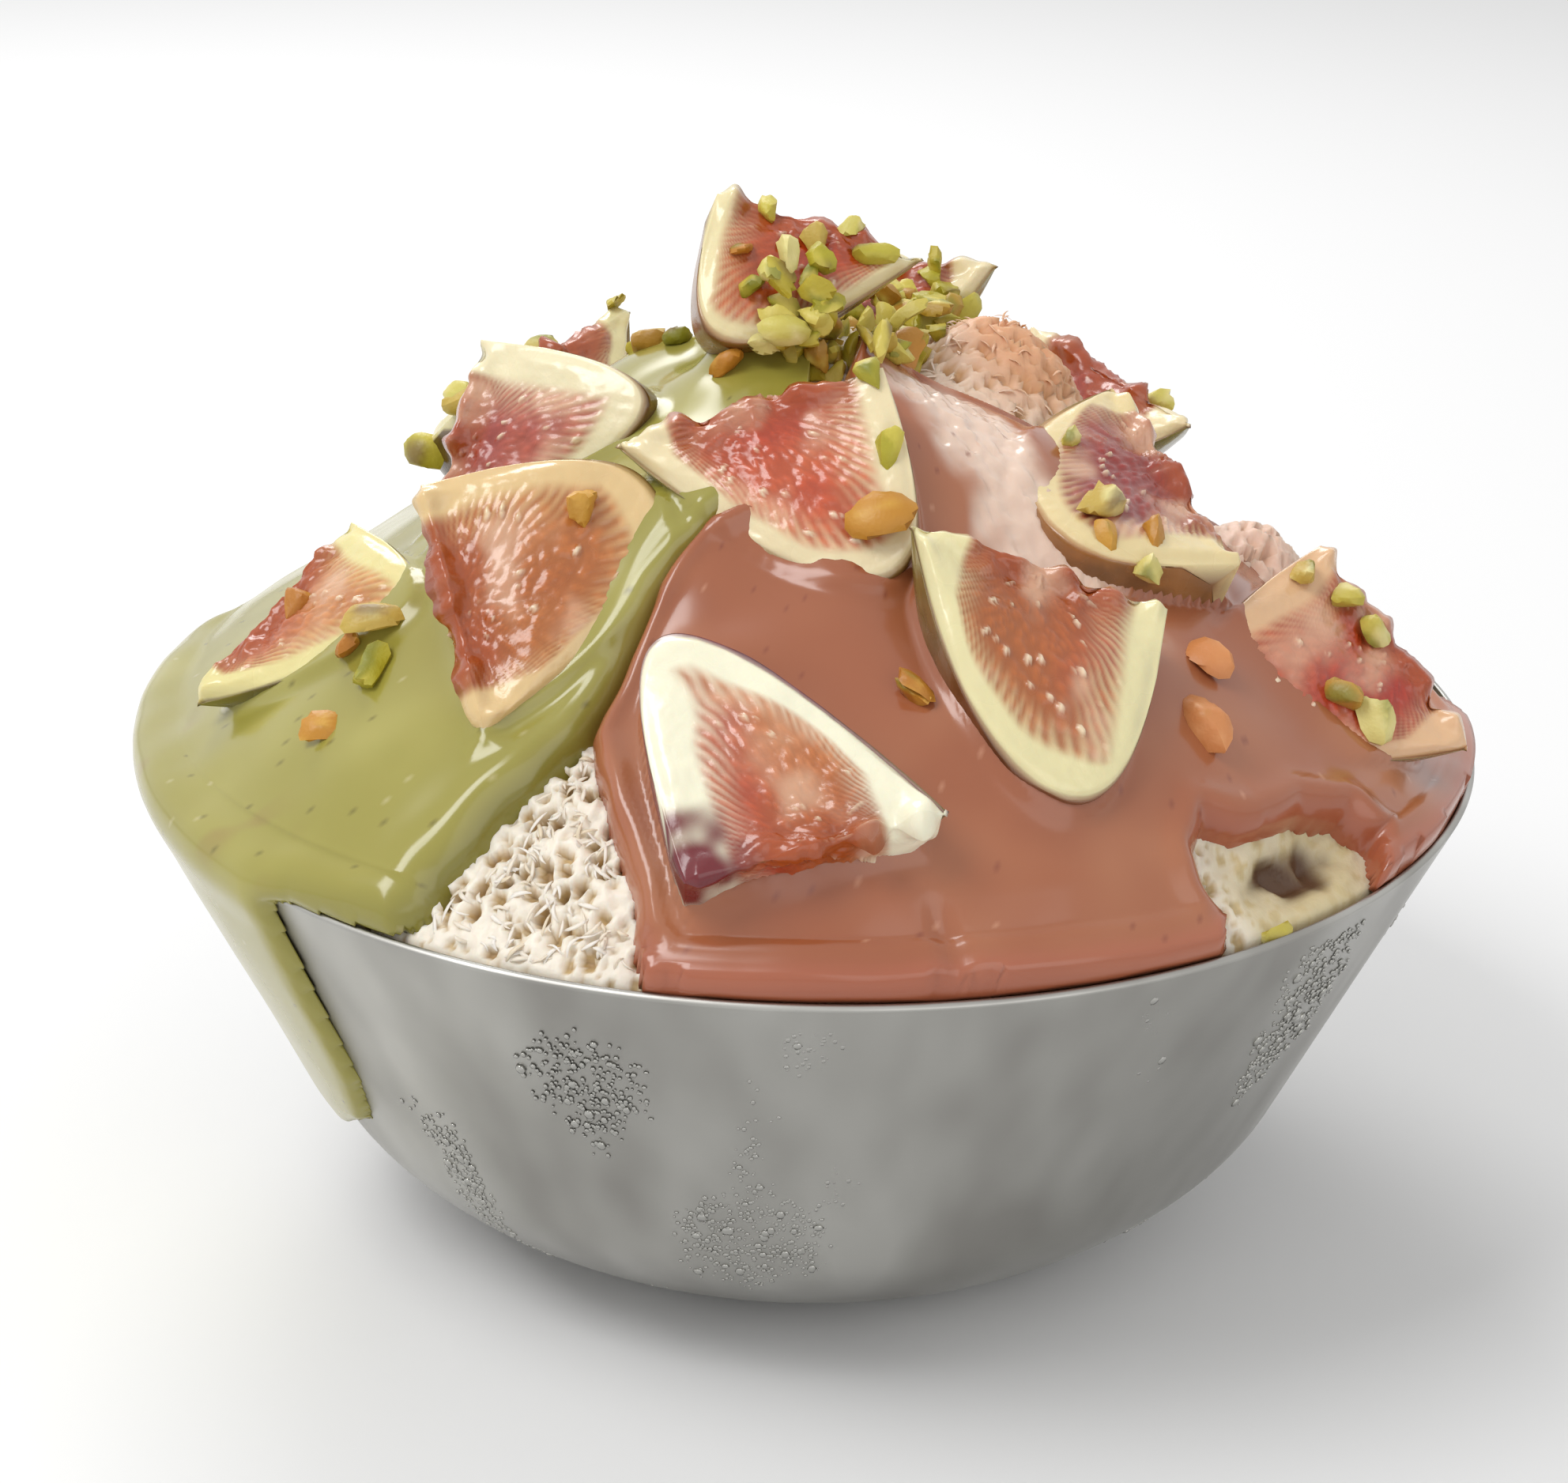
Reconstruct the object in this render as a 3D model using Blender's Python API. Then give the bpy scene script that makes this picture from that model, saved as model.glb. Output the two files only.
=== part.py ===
"""Shaved ice dessert in a steel bowl: a mound of shaved ice under two poured creams, with fig wedges on it.

Metres, +Z up. The origin is the centre of the bowl's base. -Y is the front, and bearings run from there
towards +X, as seen from above. The named sizes are in millimetres, and MM turns them into metres.
"""

import math
from collections import namedtuple

import bmesh
import bpy
import numpy as np
from mathutils import Euler

MM = 0.001
SEGMENTS = 48
GAP = 0.35

# The bowl: a pressed sheet with a flat base, a round shoulder and a straight flared wall.
RIM_R = 90.0
BOWL_H = 68.0
WALL = 0.9
BASE_R = 35.0
SHOULDER_R = 68.5
SHOULDER_Z = 22.0
BASE_HANDLE = 10.0
SHOULDER_HANDLE = 12.0
SHOULDER_STEPS = 6

# The mound: a dome whose foot is level with the rim. Its power is a constant, plus a share of the cosine of the
# bearing, plus a share of the square of its sine, so that its sides fall away sooner than its front.
MOUND_H = 54.0
MOUND_POWER = (1.65, 0.15, -0.38)
MOUND_RINGS = 9
FILL_DROP = 2.0
LUMP_H = 0.9

# The creams lie this thick on the ice and are bedded this far into it.
CREAM_T = 4.2
CREAM_BED = 0.8
CREAM_EDGE = 0.16
BROW = 84.0
WALL_RUN = 52.0

# The fig cream leaves the ice bare in a round patch by the rim.
PATCH_R = 15.0
PATCH_AT = (62, -66, 68)

Fig = namedtuple("Fig", "name place turn length radius belly")

# Each fig wedge: the middle of its core edge, its turn in degrees, the whole fig's length and radius, and its
# belly, which is low for a pear-shaped fig and high for a round one.
FIGS = (
    Fig("fig_crown", (0, -4, 137), (45, -17, 180), 28, 20, 1.8),
    Fig("fig_left_high", (-46, -14, 110), (-3, -62, 67), 28, 25, 1.8),
    Fig("fig_centre_high", (-8, -35, 122), (47, -16, 7), 34, 27, 1.8),
    Fig("fig_left_rim", (-69, -24, 90), (1, -41, 37), 31, 22, 1.8),
    Fig("fig_left_low", (-43, -51, 101), (-18, -48, 115), 33, 28, 3.2),
    Fig("fig_front_low", (1, -85, 86), (-40, 11, -166), 31, 31, 1.8),
    Fig("fig_right_low", (27, -52, 108), (42, 19, 4), 33, 29, 2.6),
    Fig("fig_right_high", (46, -18, 109), (-8, 21, -66), 37, 24, 4.0),
    Fig("fig_right_rim", (74, -28, 90), (66, -45, 147), 32, 27, 3.0),
    Fig("fig_back_high", (8, 30, 122), (52, 8, 172), 34, 22, 2.2),
    Fig("fig_back_left", (-38, 36, 108), (40, 10, -128), 34, 22, 1.8),
    Fig("fig_back_right", (42, 38, 106), (42, -12, 130), 34, 22, 2.2),
    Fig("fig_back_low", (2, 68, 96), (40, 6, 178), 36, 22, 1.8),
)
FIG_RINGS = 9
FACE_STEPS = 2
SKIN_STEPS = 4
WEDGE_DEG = 90.0


def material(name, colour, roughness, metallic=0.0):
    """A Principled material of one colour, given as linear RGB."""
    made = bpy.data.materials.new(name)
    made.use_nodes = True
    shader = made.node_tree.nodes["Principled BSDF"]
    shader.inputs["Base Color"].default_value = (*colour, 1.0)
    shader.inputs["Roughness"].default_value = roughness
    shader.inputs["Metallic"].default_value = metallic
    return made


def clear_scene():
    for obj in list(bpy.data.objects):
        bpy.data.objects.remove(obj)


def new_object(name, points, faces, finish=None):
    """An object from points in millimetres and faces, with its doubles merged and its faces turned outwards."""
    mesh = bpy.data.meshes.new(name)
    mesh.from_pydata((np.asarray(points) * MM).tolist(), [], faces)
    shape = bmesh.new()
    shape.from_mesh(mesh)
    bmesh.ops.remove_doubles(shape, verts=shape.verts, dist=0.00001)
    bmesh.ops.recalc_face_normals(shape, faces=shape.faces)
    shape.to_mesh(mesh)
    shape.free()
    mesh.shade_smooth()
    mesh.set_sharp_from_angle(angle=math.radians(35))
    if finish:
        mesh.materials.append(finish)
    obj = bpy.data.objects.new(name, mesh)
    bpy.context.scene.collection.objects.link(obj)
    return obj


def grid_faces(rows, columns, closed_columns=True):
    """Quads between neighbouring rows of a grid of points stored row by row."""
    faces = []
    last = columns if closed_columns else columns - 1
    for row in range(rows - 1):
        for column in range(last):
            beside = (column + 1) % columns
            faces.append(
                (
                    row * columns + column,
                    row * columns + beside,
                    (row + 1) * columns + beside,
                    (row + 1) * columns + column,
                )
            )
    return faces


def bearing_vector(bearing):
    """The level unit vector at this bearing, in radians from the front (-Y) towards +X."""
    return np.stack([np.sin(bearing), -np.cos(bearing)], axis=-1)


def turned(name, profile, finish):
    """A solid of revolution from a profile of (radius, height) points that starts and ends on the axis."""
    bearings = np.arange(SEGMENTS) * 2 * math.pi / SEGMENTS
    level = bearing_vector(bearings)
    rings = [np.column_stack([level * radius, np.full(SEGMENTS, height)]) for radius, height in profile]
    return new_object(name, np.concatenate(rings), grid_faces(len(profile), SEGMENTS), finish)


def bowl_profile(inset):
    """The bowl's outer profile from the axis to the rim, moved inwards by inset: a flat base, a Bezier
    shoulder that leaves the base level and meets the wall along its slope, and a straight wall."""
    rise = np.array([RIM_R - SHOULDER_R, BOWL_H - SHOULDER_Z])
    rise /= np.linalg.norm(rise)
    start = np.array([BASE_R, 0.0])
    end = np.array([SHOULDER_R, SHOULDER_Z])
    handle_a = start + [BASE_HANDLE, 0.0]
    handle_b = end - SHOULDER_HANDLE * rise
    t = np.linspace(0, 1, SHOULDER_STEPS + 1)[:, None]
    shoulder = (
        (1 - t) ** 3 * start
        + 3 * (1 - t) ** 2 * t * handle_a
        + 3 * (1 - t) * t**2 * handle_b
        + t**3 * end
    )
    profile = np.vstack([[0.0, 0.0], shoulder, [RIM_R, BOWL_H]])
    along = np.gradient(profile, axis=0)
    along /= np.linalg.norm(along, axis=1)[:, None]
    along[0] = along[1] = (1.0, 0.0)
    return profile + inset * np.column_stack([-along[:, 1], along[:, 0]])


def bowl_wall_radius(height, inset):
    """The radius of the bowl's profile, moved inwards by inset, at this height."""
    profile = bowl_profile(inset)
    return np.interp(height, profile[1:, 1], profile[1:, 0])


def make_bowl(steel):
    outer = bowl_profile(0.0)
    inner = bowl_profile(WALL)
    lip = (outer[-1] + inner[-1]) / 2 + [0.0, WALL * 0.4]
    turned("bowl", np.vstack([outer, lip, inner[::-1]]), steel)


def ice_height(radius, bearing):
    """The top of the ice: a dome that falls as a power of the radius, with shallow lumps from three waves."""
    power = MOUND_POWER[0] + MOUND_POWER[1] * np.cos(bearing) + MOUND_POWER[2] * np.sin(bearing) ** 2
    dome = MOUND_H * (1 - (radius / RIM_R) ** power)
    lumps = (
        np.sin(3 * bearing + 0.08 * radius)
        + np.sin(5 * bearing - 0.11 * radius + 1.0)
        + np.sin(0.2 * radius + 2 * bearing)
    )
    fade = np.clip((RIM_R - radius) / 25, 0, 1) * np.clip(radius / 12, 0, 1)
    return BOWL_H - FILL_DROP + dome + LUMP_H * lumps * fade


def make_ice(ice):
    """The shaved ice: it fills the bowl a little clear of the wall and rises as the mound."""
    wall = bowl_profile(WALL + GAP)
    rim_z = BOWL_H - FILL_DROP - 0.5
    body = [point for point in wall if point[1] < rim_z]
    edge_r = float(bowl_wall_radius(rim_z, WALL + GAP))
    bearings = np.arange(SEGMENTS) * 2 * math.pi / SEGMENTS
    level = bearing_vector(bearings)
    rings = [np.column_stack([level * r, np.full(SEGMENTS, z)]) for r, z in body]
    rings.append(np.column_stack([level * edge_r, np.full(SEGMENTS, rim_z)]))
    for step in range(MOUND_RINGS + 1):
        radius = (edge_r - 1.0) * (1 - step / MOUND_RINGS)
        heights = ice_height(radius, bearings) if step < MOUND_RINGS else np.full(SEGMENTS, ice_height(0.0, 0.0))
        rings.append(np.column_stack([level * radius, heights]))
    return new_object("shaved_ice", np.concatenate(rings), grid_faces(len(rings), SEGMENTS), ice)


def mound_path(distance, bearing):
    """A point (radius, height) that runs down the ice, over the rim and down the outside of the bowl.

    distance is the level distance from the mound's axis as far as BROW, and goes on from there as the
    length of the path. The path keeps a gap and a bed clear of the bowl.
    """
    clear = 0.6 + CREAM_BED
    slope = np.array([RIM_R - SHOULDER_R, BOWL_H - SHOULDER_Z])
    slope /= np.linalg.norm(slope)
    wall_top = np.array([RIM_R, BOWL_H]) + clear * np.array([slope[1], -slope[0]]) - 1.5 * slope
    wall_end = wall_top - WALL_RUN * slope
    stops = [
        (BROW, BROW, ice_height(BROW, bearing)),
        (BROW + 4.0, BROW + 4.0, BOWL_H + 3.0),
        (BROW + 6.5, BROW + 6.2, BOWL_H + 2.1),
        (BROW + 8.2, BROW + 7.6, BOWL_H + 0.7),
        (BROW + 10.0, *wall_top),
        (BROW + 10.0 + WALL_RUN, *wall_end),
    ]
    travel, radii, heights = zip(*stops)
    if distance < BROW:
        return distance, ice_height(distance, bearing)
    return np.interp(distance, travel, radii), np.interp(distance, travel, heights)


def cream_layer(name, left, right, reach, rows, across, finish):
    """A poured layer: a grid over the mound between two edges.

    left and right give the bearing of each side in degrees, and reach(u, v) the distance along mound_path.
    v runs down the layer and u across it, from 0 to 1. The layer is CREAM_T thick and thins to a round
    edge, and its underside is bedded in the ice. Its triangles run from each corner inwards, so that no
    triangle lies flat between two edges.
    """
    down = len(rows)
    v, u = np.meshgrid(rows, np.linspace(0, 1, across), indexing="ij")
    bearing = np.radians(left(v) * (1 - u) + right(v) * u)
    distance = reach(u, v)
    step = 0.5
    radius = np.empty_like(distance)
    height = np.empty_like(distance)
    normal = np.empty(distance.shape + (2,))
    for i in np.ndindex(distance.shape):
        radius[i], height[i] = mound_path(distance[i], bearing[i])
        before = mound_path(max(distance[i] - step, 0), bearing[i])
        after = mound_path(distance[i] + step, bearing[i])
        tangent = np.array([after[0] - before[0], after[1] - before[1]], float)
        tangent /= np.linalg.norm(tangent)
        normal[i] = -tangent[1], tangent[0]
    border = np.minimum(np.minimum(u, 1 - u), np.minimum(v, 1 - v))
    full = np.sqrt(1 - (1 - np.clip(border / CREAM_EDGE, 0, 1)) ** 2)
    layers = []
    for lift in ((CREAM_T + CREAM_BED) * full - CREAM_BED, np.full_like(full, -CREAM_BED)):
        r = radius + normal[..., 0] * lift
        z = height + normal[..., 1] * lift
        level = bearing_vector(bearing)
        layers.append(np.stack([level[..., 0] * r, level[..., 1] * r, z], axis=-1).reshape(-1, 3))
    upper = []
    for row in range(down - 1):
        for column in range(across - 1):
            a = row * across + column
            b, c, d = a + 1, a + across + 1, a + across
            if (row < (down - 1) / 2) == (column < (across - 1) / 2):
                upper += [(a, b, c), (a, c, d)]
            else:
                upper += [(a, b, d), (b, c, d)]
    lower = [tuple(index + down * across for index in reversed(face)) for face in upper]
    return new_object(name, np.concatenate(layers), upper + lower, finish)


def blend(*stops):
    """A function that runs smoothly through (position, value) stops."""
    at, values = zip(*stops)
    return lambda x: np.interp(x, at, values)


def make_green_cream(finish):
    """Pistachio cream on the left: from the crown to the rim, and over it in one broad run."""
    rows = np.concatenate([np.linspace(0, 0.5, 8), [0.55, 0.6, 0.64, 0.68], np.linspace(0.68, 1, 6)[1:]])
    run_end = blend((0, 99), (0.3, 120), (0.6, 143), (0.85, 143), (1, 132))

    def reach(u, v):
        on_ice = np.interp(v, [0, 0.5], [14, BROW])
        over_rim = BROW + np.interp(v, [0.5, 0.55, 0.6, 0.64, 0.68], [0, 4, 6.5, 8.2, 10])
        down_wall = BROW + 10 + (run_end(u) - BROW - 10) * (v - 0.68) / 0.32
        return np.where(v < 0.5, on_ice, np.where(v < 0.68, over_rim, down_wall))

    left = blend((0, -125), (0.35, -118), (0.5, -108), (0.62, -94), (1, -86))
    right = blend((0, -42), (0.25, -32), (0.42, -24), (0.52, -30), (0.6, -44), (1, -49))
    return cream_layer("pistachio_cream", left, right, reach, rows, 12, finish)


def make_pink_cream(finish):
    """Fig and berry cream on the front and right, from the crown to just inside the rim."""

    def reach(u, v):
        return 16 + (86.5 - 16) * v

    left = blend((0, -18), (0.3, -22), (0.55, -20), (0.8, -16), (1, -11))
    right = blend((0, 100), (0.35, 92), (1, 86))
    return cream_layer("fig_cream", left, right, reach, np.linspace(0, 1, 11), 19, finish)


def make_bare_patch():
    """The place by the rim that the fig cream leaves bare, as a ball to cut it away with."""
    shape = bmesh.new()
    bmesh.ops.create_icosphere(shape, subdivisions=2, radius=PATCH_R * MM)
    mesh = bpy.data.meshes.new("bare_patch")
    shape.to_mesh(mesh)
    shape.free()
    obj = bpy.data.objects.new("bare_patch", mesh)
    obj.location = np.array(PATCH_AT, float) * MM
    bpy.context.scene.collection.objects.link(obj)
    return obj


def fig_radius(t, belly):
    """The fig's radius as a share of its greatest, from the stem (0) to the blossom end (1): it widens from a
    narrow stem as a power of the way left to go, and closes bluntly."""

    def raw(at):
        return (1 - (1 - at) ** belly) * (1 - at**8) ** 0.35

    return raw(t) / raw(np.linspace(0, 1, 201)).max()


def wedge_points(fig, grow=0.0):
    """A quarter of a fig, its core edge along X and its first cut face in the XY plane, facing +Z.

    Each ring runs from the core over the first cut face, round the skin and back over the second face.
    """
    t = np.linspace(0, 1, FIG_RINGS + 2)[1:-1]
    skin = np.radians(np.linspace(0, WEDGE_DEG, SKIN_STEPS + 1))
    faces = np.linspace(0, 1, FACE_STEPS + 1)[:-1]
    share = np.concatenate([faces, np.ones(len(skin)), faces[:0:-1]])
    angle = np.concatenate([np.zeros(len(faces)), skin, np.full(len(faces) - 1, skin[-1])])
    radius = fig.radius * fig_radius(t, fig.belly)[:, None] * share
    x = np.repeat((t[:, None] - 0.5) * fig.length, len(share), axis=1)
    rings = np.stack([x, -radius * np.cos(angle), -radius * np.sin(angle)], axis=-1)
    middle = rings.mean(axis=1, keepdims=True)
    if grow:
        outward = rings - middle
        rings = rings + grow * outward / np.linalg.norm(outward, axis=2, keepdims=True) * 1.25
    ends = [[-0.5 * fig.length - grow, 0, 0], [0.5 * fig.length + grow, 0, 0]]
    for end, ring in zip(ends, (0, -1)):
        end[1:] = (middle[ring, 0, 1:] * 0.5).tolist()
    count = len(share)
    points = np.concatenate([rings.reshape(-1, 3), ends])
    quads = grid_faces(FIG_RINGS, count)
    stem, blossom = FIG_RINGS * count, FIG_RINGS * count + 1
    last = (FIG_RINGS - 1) * count
    fans = [(stem, (i + 1) % count, i) for i in range(count)]
    fans += [(blossom, last + i, last + (i + 1) % count) for i in range(count)]
    return points, quads + fans


def put(obj, fig):
    obj.location = np.array(fig.place, float) * MM
    obj.rotation_euler = Euler([math.radians(a) for a in fig.turn])


def make_figs(flesh):
    for fig in FIGS:
        put(new_object(fig.name, *wedge_points(fig), flesh), fig)


def fig_cutters():
    """Each wedge again, a gap larger all round, to cut its seat with."""
    cutters = []
    for fig in FIGS:
        cutter = new_object(fig.name + "_seat", *wedge_points(fig, grow=2 * GAP))
        put(cutter, fig)
        cutters.append(cutter)
    return cutters


def swollen_copy(obj, by):
    """A copy of an evaluated object whose points are moved out along their normals."""
    graph = bpy.context.evaluated_depsgraph_get()
    mesh = bpy.data.meshes.new_from_object(obj.evaluated_get(graph))
    points = np.empty(len(mesh.vertices) * 3)
    normals = np.empty(len(mesh.vertices) * 3)
    mesh.vertices.foreach_get("co", points)
    mesh.vertex_normals.foreach_get("vector", normals)
    mesh.vertices.foreach_set("co", points + by * MM * normals)
    copy = bpy.data.objects.new(obj.name + "_seat", mesh)
    bpy.context.scene.collection.objects.link(copy)
    return copy


def cut(obj, cutters):
    for cutter in cutters:
        cutter.hide_render = True
        cutter.display_type = "WIRE"
        away = obj.modifiers.new("cut_" + cutter.name, "BOOLEAN")
        away.operation = "DIFFERENCE"
        away.solver = "EXACT"
        away.object = cutter


def main():
    clear_scene()
    steel = material("brushed_steel", (0.38, 0.37, 0.35), 0.35, metallic=1.0)
    ice = material("shaved_ice", (0.78, 0.72, 0.62), 0.6)
    green = material("pistachio_cream", (0.38, 0.36, 0.12), 0.3)
    pink = material("fig_cream", (0.47, 0.20, 0.13), 0.3)
    flesh = material("fig_flesh", (0.60, 0.22, 0.12), 0.35)
    make_bowl(steel)
    mound = make_ice(ice)
    creams = [make_green_cream(green), make_pink_cream(pink)]
    cut(creams[1], [make_bare_patch()])
    seats = [swollen_copy(cream, GAP) for cream in creams]
    make_figs(flesh)
    cutters = fig_cutters()
    cut(mound, seats + cutters)
    for cream in creams:
        cut(cream, cutters)


main()
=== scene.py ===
"""Shaved ice dessert: the looks of the bowl, the ice, the two creams, the fig wedges and the chopped nuts.

Lengths in this file are in millimetres, and MM turns them into the metres that Blender takes. Bearings run
from the front (-Y) towards +X, seen from above. Every piece is worked out as whole arrays of points.
"""

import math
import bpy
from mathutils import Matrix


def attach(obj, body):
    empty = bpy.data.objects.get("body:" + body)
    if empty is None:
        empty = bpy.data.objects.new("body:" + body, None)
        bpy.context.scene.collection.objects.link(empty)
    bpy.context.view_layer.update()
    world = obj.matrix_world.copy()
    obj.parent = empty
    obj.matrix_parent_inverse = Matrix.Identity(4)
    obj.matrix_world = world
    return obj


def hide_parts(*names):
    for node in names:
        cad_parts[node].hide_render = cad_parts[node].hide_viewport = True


bl_info = {
    "name": "Shaved ice dessert",
    "version": (1, 0, 0),
    "blender": (4, 5, 0),
    "location": "3D View > Sidebar > Dessert",
    "description": "Builds a steel bowl of shaved ice with two creams, fig wedges and chopped pistachios",
    "category": "Object",
}

from collections import namedtuple

import bpy
import numpy as np
from mathutils import Euler, Matrix, Vector
from mathutils.bvhtree import BVHTree

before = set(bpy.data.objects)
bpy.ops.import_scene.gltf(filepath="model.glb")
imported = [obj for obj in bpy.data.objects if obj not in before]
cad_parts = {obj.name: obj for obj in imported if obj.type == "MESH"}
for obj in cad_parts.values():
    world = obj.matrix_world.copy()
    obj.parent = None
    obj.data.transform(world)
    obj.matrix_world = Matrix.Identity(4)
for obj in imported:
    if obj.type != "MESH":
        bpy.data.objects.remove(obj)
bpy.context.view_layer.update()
MM = 0.001


# ---------------------------------------------------------------- colours, noise and meshes


def linear(hex_colour):
    """An sRGB hex colour as linear red, green and blue."""
    code = hex_colour.lstrip("#")
    shade = np.array([int(code[i : i + 2], 16) for i in (0, 2, 4)]) / 255
    return np.where(shade <= 0.04045, shade / 12.92, ((shade + 0.055) / 1.055) ** 2.4)


def smooth(low, high, value):
    """0 below low, 1 above high, and a cubic that starts and ends level between them."""
    t = np.clip((value - low) / (high - low), 0, 1)
    return t * t * (3 - 2 * t)


def mix(first, second, share):
    """Colours from first to second by a share per point."""
    share = np.asarray(share)[..., None]
    return first * (1 - share) + second * share


def bell(points, centre, spread):
    """1 at this place, falling as exp(-(distance / spread) squared) all round it."""
    return np.exp(-((np.linalg.norm(points - np.array(centre), axis=-1) / spread) ** 2))


def lattice(cell, seed):
    """A number from 0 to 1 for each whole-number cell: its three coordinates, mixed as 32-bit numbers."""
    key = cell[..., 0] * 73856093 ^ cell[..., 1] * 19349663 ^ cell[..., 2] * 83492791 ^ seed * 2654435761
    key = key & 0xFFFFFFFF
    for _ in range(2):
        key = ((key ^ (key >> 16)) * 0x45D9F3B) & 0xFFFFFFFF
    return (key ^ (key >> 16)) / 0xFFFFFFFF


def cloud(points, size, seed=0):
    """Smooth noise from -1 to 1: random values on a lattice of this size, joined by cubic blends."""
    scaled = np.asarray(points) / size
    base = np.floor(scaled).astype(np.int64)
    part = scaled - base
    part = part * part * (3 - 2 * part)
    total = 0
    for dx in (0, 1):
        for dy in (0, 1):
            for dz in (0, 1):
                weight = (
                    (part[..., 0] if dx else 1 - part[..., 0])
                    * (part[..., 1] if dy else 1 - part[..., 1])
                    * (part[..., 2] if dz else 1 - part[..., 2])
                )
                total = total + weight * lattice(base + (dx, dy, dz), seed)
    return total * 2 - 1


def fractal(points, size, octaves=3, seed=0):
    """Clouds of halving size and strength, added up, from about -1 to 1."""
    return sum(cloud(points, size / 2**i, seed + i) / 2**i for i in range(octaves)) / 1.6


def cells(points, size, seed=0):
    """For each point, its distance to the nearest and to the next of one random spot per lattice cell, as a
    share of the cell size, and a random number that belongs to the nearest spot."""
    scaled = np.asarray(points) / size
    base = np.floor(scaled).astype(np.int64)
    first = np.full(scaled.shape[:-1], 9.0)
    second = first.copy()
    label = np.zeros(scaled.shape[:-1])
    for dx in (-1, 0, 1):
        for dy in (-1, 0, 1):
            for dz in (-1, 0, 1):
                cell = base + (dx, dy, dz)
                spot = cell + np.stack([lattice(cell, seed + k) for k in (11, 12, 13)], axis=-1)
                gap = np.linalg.norm(scaled - spot, axis=-1)
                nearer = gap < first
                second = np.where(nearer, first, np.minimum(second, gap))
                label = np.where(nearer, lattice(cell, seed + 14), label)
                first = np.where(nearer, gap, first)
    return first, second, label


def quads(rows, columns, wrap=False):
    """Four-cornered faces between neighbouring rows of a grid, stored row by row."""
    index = np.arange(rows * columns).reshape(rows, columns)
    if wrap:
        index = np.column_stack([index, index[:, 0]])
    return np.stack([index[:-1, :-1], index[:-1, 1:], index[1:, 1:], index[1:, :-1]], axis=-1).reshape(-1, 4)


def fan(centre, ring, flip=False):
    """Triangles from one point to each pair of neighbours on a closed ring."""
    ring = np.asarray(ring)
    after = np.roll(ring, -1)
    pair = (after, ring) if flip else (ring, after)
    return np.column_stack([np.full(len(ring), centre), *pair])


def closed_sheet(top, bottom, keep):
    """Points and faces of a solid between two grids of points: the kept squares of the top, the same squares
    of the bottom turned over, and walls round their border."""
    count = top.shape[0] * top.shape[1]
    index = np.arange(count).reshape(top.shape[:2])
    corners = [index[:-1, :-1][keep], index[:-1, 1:][keep], index[1:, 1:][keep], index[1:, :-1][keep]]
    upper = np.stack(corners, axis=1)
    padded = np.pad(keep, 1)
    beside = (padded[:-2, 1:-1], padded[1:-1, 2:], padded[2:, 1:-1], padded[1:-1, :-2])
    walls = []
    for side in range(4):
        bare = ~beside[side][keep]
        start, end = corners[side][bare], corners[(side + 1) % 4][bare]
        walls.append(np.stack([end, start, start + count, end + count], axis=1))
    faces = np.concatenate([upper, upper[:, ::-1] + count, *walls])
    points = np.concatenate([top.reshape(-1, 3), bottom.reshape(-1, 3)])
    used, compact = np.unique(faces, return_inverse=True)
    return points[used], compact.reshape(faces.shape), used


def add_mesh(name, points, faces, finish, tint=None, sharp=None):
    """An object from points in millimetres and arrays of faces, turned outwards, with a colour per point."""
    volume = 0.0
    for block in faces:
        a, b, c = points[block[:, 0]], points[block[:, 1]], points[block[:, 2]]
        volume += np.einsum("ij,ij->", a, np.cross(b, c))
        if block.shape[1] == 4:
            volume += np.einsum("ij,ij->", a, np.cross(c, points[block[:, 3]]))
    if volume < 0:
        faces = [block[:, ::-1] for block in faces]
    mesh = bpy.data.meshes.new(name)
    corners = np.concatenate([block.ravel() for block in faces])
    sizes = np.concatenate([np.full(len(block), block.shape[1]) for block in faces])
    mesh.vertices.add(len(points))
    mesh.vertices.foreach_set("co", (np.asarray(points) * MM).ravel())
    mesh.loops.add(len(corners))
    mesh.loops.foreach_set("vertex_index", corners)
    mesh.polygons.add(len(sizes))
    mesh.polygons.foreach_set("loop_start", np.concatenate([[0], np.cumsum(sizes)[:-1]]))
    mesh.update(calc_edges=True)
    mesh.validate()
    mesh.shade_smooth()
    if sharp:
        mesh.set_sharp_from_angle(angle=math.radians(sharp))
    if tint is not None:
        colour = mesh.color_attributes.new("tint", "FLOAT_COLOR", "POINT")
        filled = np.column_stack([tint, np.ones(len(tint))])
        colour.data.foreach_set("color", np.ascontiguousarray(filled, np.float32).ravel())
    mesh.materials.append(finish)
    obj = bpy.data.objects.new(name, mesh)
    bpy.context.scene.collection.objects.link(obj)
    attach(obj, "root")
    return obj


def rounded_faces(rows, columns):
    """Faces of a closed shape: rings of columns points, then a point for each end."""
    last = (rows - 1) * columns
    ring = np.arange(columns)
    ends = np.concatenate([fan(rows * columns, ring, True), fan(rows * columns + 1, last + ring)])
    return [quads(rows, columns, wrap=True), ends]


# ---------------------------------------------------------------- materials


def node(tree, kind, settings=None, **inputs):
    """A new node with its settings, and its inputs set to a value or linked to a socket. An input goes by its
    name, with _ for a space, or by i and its number."""
    made = tree.nodes.new(kind)
    for key, value in (settings or {}).items():
        setattr(made, key, value)
    for key, value in inputs.items():
        numbered = key[0] == "i" and key[1:].isdigit()
        socket = made.inputs[int(key[1:]) if numbered else key.replace("_", " ")]
        if isinstance(value, bpy.types.NodeSocket):
            tree.links.new(value, socket)
        else:
            socket.default_value = value
    return made


def new_material(name, **settings):
    """A Principled material, its node tree and its shader."""
    made = bpy.data.materials.new(name)
    made.use_nodes = True
    tree = made.node_tree
    shader = tree.nodes["Principled BSDF"]
    for key, value in settings.items():
        shader.inputs[key.replace("_", " ")].default_value = value
    return made, tree, shader


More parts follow.
